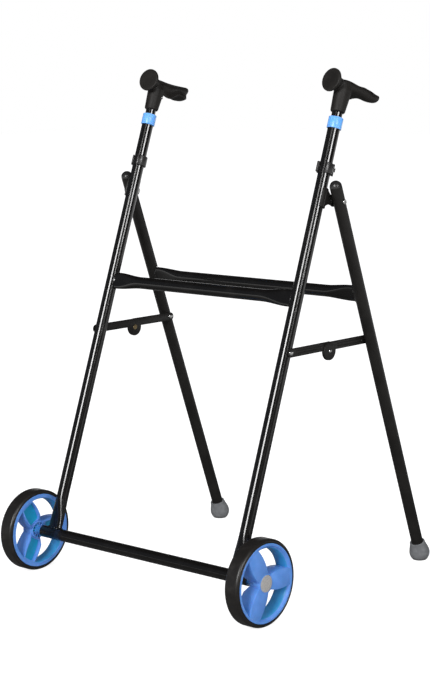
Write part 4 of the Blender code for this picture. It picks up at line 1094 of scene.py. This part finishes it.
def clips():
    lock_frame = out_of_front(CLIP_S, LOCK_ANGLE)
    inner = TUBE_R + SEAT_GAP
    outer = inner + CLIP_WALL
    half = CLIP_HEIGHT / 2
    start, end = CLIP_OPEN_TO, CLIP_OPEN_FROM + 2 * pi
    band = arc((0, 0), outer, start, end, 40) + arc((0, 0), inner, end, start, 40)
    tab_end = outer + CLIP_TAB_REACH
    knob, tip, soft = LOCK_HOUSING_R + SEAT_GAP, HANDLE_R + SEAT_GAP, LOCK_SOFT
    button = [(0, tip), (LOCK_PIN_R - soft, tip), (LOCK_PIN_R, tip + soft), (LOCK_PIN_R, knob)]
    button += [(LOCK_KNOB_R - soft, knob), (LOCK_KNOB_R, knob + soft)]
    dome = ((1, 0.55), (0.92, 0.85), (0.75, 1), (0, 0.92))
    button += shares(LOCK_KNOB_R, knob, LOCK_KNOB_T, dome)
    shell = softened(slab(band, -half, half), CLIP_SOFT, 3)
    tab_size = (tab_end - inner, CLIP_TAB_T, CLIP_HEIGHT)
    tab = softened(block(tab_size, ((tab_end + inner) / 2, -CLIP_TAB_T / 2, 0)), CLIP_TAB_SOFT, 3)
    moved(tab, Matrix.Rotation(CLIP_OPEN_FROM, 4, "Z"))
    depth = LOCK_HOUSING_R - inner - 0.0006
    housing = block((depth, LOCK_HOUSING_W, CLIP_HEIGHT), (LOCK_HOUSING_R - depth / 2, 0, 0))
    moved(softened(housing, LOCK_HOUSING_SOFT, 3), Matrix.Rotation(LOCK_ANGLE, 4, "Z"))
    lobe = rod(LOCK_HOUSING_W / 2, inner + 0.0006, LOCK_HOUSING_R, 48)
    lobe = softened(lobe, LOCK_LOBE_SOFT, 3)
    moved(lobe, lock_frame @ Matrix.Translation((-LOCK_LOBE_DROP, 0, 0)))
    whole = joined(moved(joined(shell, tab, housing), up_front(CLIP_S)), lobe)
    pair("height_clip", whole, [PLASTIC])
    pair("lock_button", moved(turned(button, PIN_SIDES), lock_frame), [PLASTIC])


# Handle tube and grip


def handle_tubes():
    low = CLIP_S - HOLE_STEPS * HOLE_PITCH - HANDLE_FOOT
    high = GRIP_S - GRIP_BORE_STOP - SEAT_GAP
    bore = HANDLE_R - HANDLE_WALL
    profile = sleeve(bore, HANDLE_R, low, high, TUBE_END_SOFT)
    tube = moved(turned(profile, 48, ring=True), up_front(0))
    holes = []
    for step in range(HOLE_STEPS + 1):
        hole = rod(LOCK_PIN_R + PIN_PLAY, bore - 0.004, HANDLE_R + 0.004, 24)
        place = Matrix.Translation(-ALONG * HOLE_PITCH * step) @ out_of_front(CLIP_S, LOCK_ANGLE)
        holes.append(moved(hole, place))
    pair("handle_tube", cut(tube, joined(*holes)), [GLOSS_BLACK])


# Each row is how far back the section lies, then for its outer side the reach and the heights of the
# top edge and of the underside, and the same for its inner side.
ARM_SECTIONS = (
    (-0.014, 0.0090, 0.0060, -0.0080, 0.0090, 0.0060, -0.0080),
    (-0.004, 0.0122, 0.0086, -0.0110, 0.0122, 0.0080, -0.0110),
    (0.008, 0.0134, 0.0094, -0.0118, 0.0134, 0.0080, -0.0154),
    (0.022, 0.0134, 0.0086, -0.0104, 0.0190, 0.0090, -0.0216),
    (0.035, 0.0130, 0.0082, -0.0092, 0.0200, 0.0110, -0.0182),
    (0.048, 0.0130, 0.0116, -0.0102, 0.0184, 0.0136, -0.0050),
    (0.0595, 0.0128, 0.0084, -0.0116, 0.0182, 0.0161, -0.0030),
    (0.0695, 0.0122, 0.0036, -0.0097, 0.0182, 0.0184, -0.0038),
    (0.0780, 0.0112, 0.0062, -0.0078, 0.0166, 0.0188, -0.0042),
    (0.0840, 0.0100, 0.0090, -0.0060, 0.0134, 0.0172, -0.0026),
    (0.0885, 0.0080, 0.0086, -0.0026, 0.0096, 0.0146, 0.0006),
    (0.0908, 0.0050, 0.0066, 0.0012, 0.0056, 0.0120, 0.0036),
)
# Points round a section, as shares of its reach and of its height from the underside to a top
# edge: first the outer side, which is full, then the inner side, where a hollow parts the top edge
# from the flared lower edge.
OUTER_SIDE = ((0.0, 0.0), (0.55, 0.07), (0.93, 0.36), (1.0, 0.68), (0.86, 0.93), (0.55, 1.0))
INNER_SIDE = (
    (0.82, 1.0), (0.98, 0.96), (0.98, 0.88), (0.78, 0.77),
    (0.69, 0.56), (0.78, 0.30), (0.94, 0.10), (0.74, 0.0),
)
ARM_SWELL = 1.03
DISC_OFFSET = (-0.0020, 0.0024, 0.0)


def arm():
    """The hand rest, drawn from ring to ring and then smoothed."""
    bm = bmesh.new()
    loops = []
    for back, outer, outer_top, outer_under, inner, inner_top, inner_under in ARM_SECTIONS:
        ring = shares(outer, outer_under, outer_top - outer_under, OUTER_SIDE)
        ring.append((0.0, outer_top * 0.75 + inner_top * 0.25))
        ring.append((-inner * 0.5, outer_top * 0.35 + inner_top * 0.65))
        ring += shares(-inner, inner_under, inner_top - inner_under, INNER_SIDE)
        loop = bmesh.ops.create_circle(bm, segments=len(ring), radius=0.01)["verts"]
        for vert, (x, z) in zip(loop, ring):
            vert.co = (x * ARM_SWELL, back, z * ARM_SWELL)
        loops.append(list({edge for vert in loop for edge in vert.link_edges}))
    for first, second in zip(loops, loops[1:]):
        bmesh.ops.bridge_loops(bm, edges=first + second)
    for end in (loops[0], loops[-1]):
        bmesh.ops.edgenet_fill(bm, edges=end)
    bmesh.ops.recalc_face_normals(bm, faces=bm.faces)
    holder = on_bench(bm)
    set_up(holder.modifiers.new("smooth", "SUBSURF"), levels=2, render_levels=2)
    return off_bench(holder)


def stem_profile(low):
    profile = [(0, low), (STEM_R_LOW - STEM_CHAMFER, low), (STEM_R_LOW, low + STEM_CHAMFER)]
    profile += [(STEM_R_TOP + STEM_SWELL, -0.010), (STEM_R_TOP * 0.92, 0.0015)]
    return profile + [(STEM_R_TOP * 0.50, 0.0076), (0, 0.0090)]


def disc_profile():
    """The front disc and the neck behind it, along the hand rest's own axis."""
    back = -DISC_AHEAD + DISC_EDGE
    profile = [(0, -DISC_AHEAD), (DISC_R * 0.93, -DISC_AHEAD), (DISC_R, -DISC_AHEAD + 0.0014)]
    profile += [(DISC_R, back - 0.0010), (DISC_R * 0.97, back), (NECK_R * 1.45, back + 0.0085)]
    return profile + [(NECK_R * 1.1, back + 0.0150), (NECK_R, -0.004), (0, -0.004)]


def grips():
    low = GRIP_BOTTOM_S - GRIP_S
    stem = stem_profile(low)
    disc_frame = Matrix.Translation(DISC_OFFSET) @ Matrix.Rotation(-pi / 2, 4, "X")
    tip = HANDLE_R + SEAT_GAP
    face = STEM_R_TOP + STEM_HEEL * 0.5 + SCREW_PROUD
    screw = [(0, tip), (SCREW_R, tip), (SCREW_R, face - 0.0004), (SCREW_R * 0.8, face)]
    screw += [(SCREW_R * 0.45, face), (SCREW_R * 0.42, face - 0.0008), (0, face - 0.0009)]
    heel = turned(stem)
    for vert in heel.verts:
        vert.co.y += STEM_HEEL * (vert.co.z - low) / -low
    whole = joined(turned(stem), heel, arm(), moved(turned(disc_profile()), disc_frame))
    # Local X points outwards, local Y back along the hand rest and local Z up the front tube.
    grip_frame = up_front(GRIP_S) @ Matrix.Rotation(-GRIP_TOE, 4, "Z")
    skin = moved(melted(whole, GRIP_SKIN, GRIP_SKIN_PASSES), grip_frame)
    pair("grip", skin, [GRIP], sharp=80.0)
    screw_frame = out_of_front(SCREW_S, SCREW_ANGLE)
    pair("grip_screw", moved(turned(screw, PIN_SIDES), screw_frame), [ZINC])


# Solids that stay inside the wheels keep their shape and get finishes of their own.


def refinish():
    for name, _ in SIDES:
        for node, finish in (("axle_plug", STEEL), ("axle_bolt", STEEL), ("wheel_bush", NYLON)):
            solid = frame["nodes"][f"{node}_{name}"]
            solid.data.materials.clear()
            solid.data.materials.append(finish.material)


# Room: a white floor and background, a soft grey room for diffuse light, and two long strip lamps,
# one for the bright line on the upper part of the front tubes and one for the lower part.

LAMP_DISTANCE = 6.0
LAMP_WIDTH = 1.9
LAMP_STRENGTH = 24.0
# The stretch of the front tubes that each lamp shines back from, and at which share of their width.
UPPER_LAMP = (0.60, 0.95, 0.61)
LOWER_LAMP = (0.0, 0.62, 0.375)
FLOOR_HALF = 14.0
FLOOR_DROP = 0.0004
FLOOR_WHITE = 0.80
FLOOR_TONE = 0.50
# In mirrors the floor is dark under the walker and white further out, between these distances.
FLOOR_UNDER = 0.06
FLOOR_DARKER = 0.44
FLOOR_FADE = (0.4, 4.5)
BACKDROP = Vector((-0.657, 0.737, 0.0))
BACKDROP_EDGE = (0.96, 0.998)
SIDE_WALL_EDGE = (0.55, 0.95)
WALL_DARK, WALL_PALE = (0.020, 0.020, 0.022), (0.10, 0.11, 0.13)
ROOM_GREY = (0.60, 0.60, 0.61, 1.0)
WHITE = (1.0, 1.0, 1.0)


def mirror_rays(sheet):
    """The camera rays, and the rays that metal, paint and glass mirror."""
    outputs = sheet.tree.nodes.new("ShaderNodeLightPath").outputs
    mirrored = Value(sheet, outputs["Is Glossy Ray"]) + Value(sheet, outputs["Is Transmission Ray"])
    return Value(sheet, outputs["Is Camera Ray"]), mirrored


def floor():
    bm = bmesh.new()
    bmesh.ops.create_grid(bm, x_segments=2, y_segments=2, size=FLOOR_HALF)
    bmesh.ops.translate(bm, vec=(0, 0, -FLOOR_DROP), verts=bm.verts)
    made = placed("floor", mesh_of("floor", bm))
    white = Finish("white floor", None, 0.9, specular=0.0, Emission_Strength=1.0)
    seen, mirrored = mirror_rays(white)
    far = white.node("ShaderNodeVectorMath", {0: white.place}, output="Value", operation="LENGTH")
    away = white.span(far, *FLOOR_FADE)
    glow = seen * FLOOR_WHITE + mirrored * (FLOOR_UNDER + away * (1.0 - FLOOR_UNDER))
    tone = FLOOR_TONE - mirrored * FLOOR_DARKER
    for grey, socket in ((glow, "Emission Color"), (tone, "Base Color")):
        white.set(socket, white.node("ShaderNodeCombineColor", {0: grey, 1: grey, 2: grey}))
    made.data.materials.append(white.material)


def room():
    world = bpy.data.worlds.new("room")
    world.use_nodes = True
    bpy.context.scene.world = world
    sheet = Sheet(world.node_tree)
    sheet.tree.nodes.clear()
    way = sheet.node("ShaderNodeTexCoord", output="Generated")

    def facing(direction):
        values = {0: way, 1: tuple(direction.normalized())}
        return sheet.node("ShaderNodeVectorMath", values, output="Value", operation="DOT_PRODUCT")

    backdrop = sheet.span(facing(BACKDROP), *BACKDROP_EDGE)
    side_wall = sheet.span(facing(-CAMERA_RIGHT), *SIDE_WALL_EDGE)
    walls = sheet.mix(backdrop, sheet.mix(side_wall, WALL_DARK, WALL_PALE), WHITE)
    seen, mirrored = mirror_rays(sheet)
    grey, room_walls, white = [
        sheet.node("ShaderNodeBackground", {"Color": colour, "Strength": 1.0})
        for colour in (ROOM_GREY, walls, (*WHITE, 1.0))
    ]
    lit = sheet.node("ShaderNodeMixShader", {0: mirrored, 1: grey, 2: room_walls})
    whole = sheet.node("ShaderNodeMixShader", {0: seen, 1: lit, 2: white})
    sheet.link(whole, sheet.tree.nodes.new("ShaderNodeOutputWorld").inputs["Surface"])


def mirrored_spot(s, share):
    """Where a lamp must stand to shine back from the tube at s, at this share of its width."""
    spot = on_front(s)
    view = (EYE - spot).normalized()
    level = (view - ALONG * view.dot(ALONG)).normalized()
    edge = ALONG.cross(level).normalized()
    if edge.dot(CAMERA_RIGHT) < 0:
        edge = -edge
    lean = 2 * share - 1
    normal = level * sqrt(1 - lean**2) + edge * lean
    back = normal * 2 * normal.dot(view) - view
    return spot + back * LAMP_DISTANCE


def strip_lamp(name, low_s, high_s, share):
    low, high = mirrored_spot(low_s, share), mirrored_spot(high_s, share)
    centre = (low + high) / 2
    length = (high - low).length
    lamp = bpy.data.lights.new(name, "AREA")
    set_up(lamp, shape="RECTANGLE", size=LAMP_WIDTH, size_y=length)
    lamp.energy = LAMP_STRENGTH * pi * LAMP_WIDTH * length
    away = (centre - on_front((low_s + high_s) / 2)).normalized()
    up = (high - low).normalized()
    up = (up - away * up.dot(away)).normalized()
    holder = placed(name, lamp)
    holder.matrix_world = axes_at(centre, up.cross(away), up, away)
    holder.visible_camera = False


front_tubes()
axle_tube()
crossbars()
rear_legs()
ferrules()
hinges()
braces()
wheels()
collars()
clips()
handle_tubes()
grips()
refinish()
floor()
room()
strip_lamp("upper strip lamp", *UPPER_LAMP)
strip_lamp("lower strip lamp", *LOWER_LAMP)
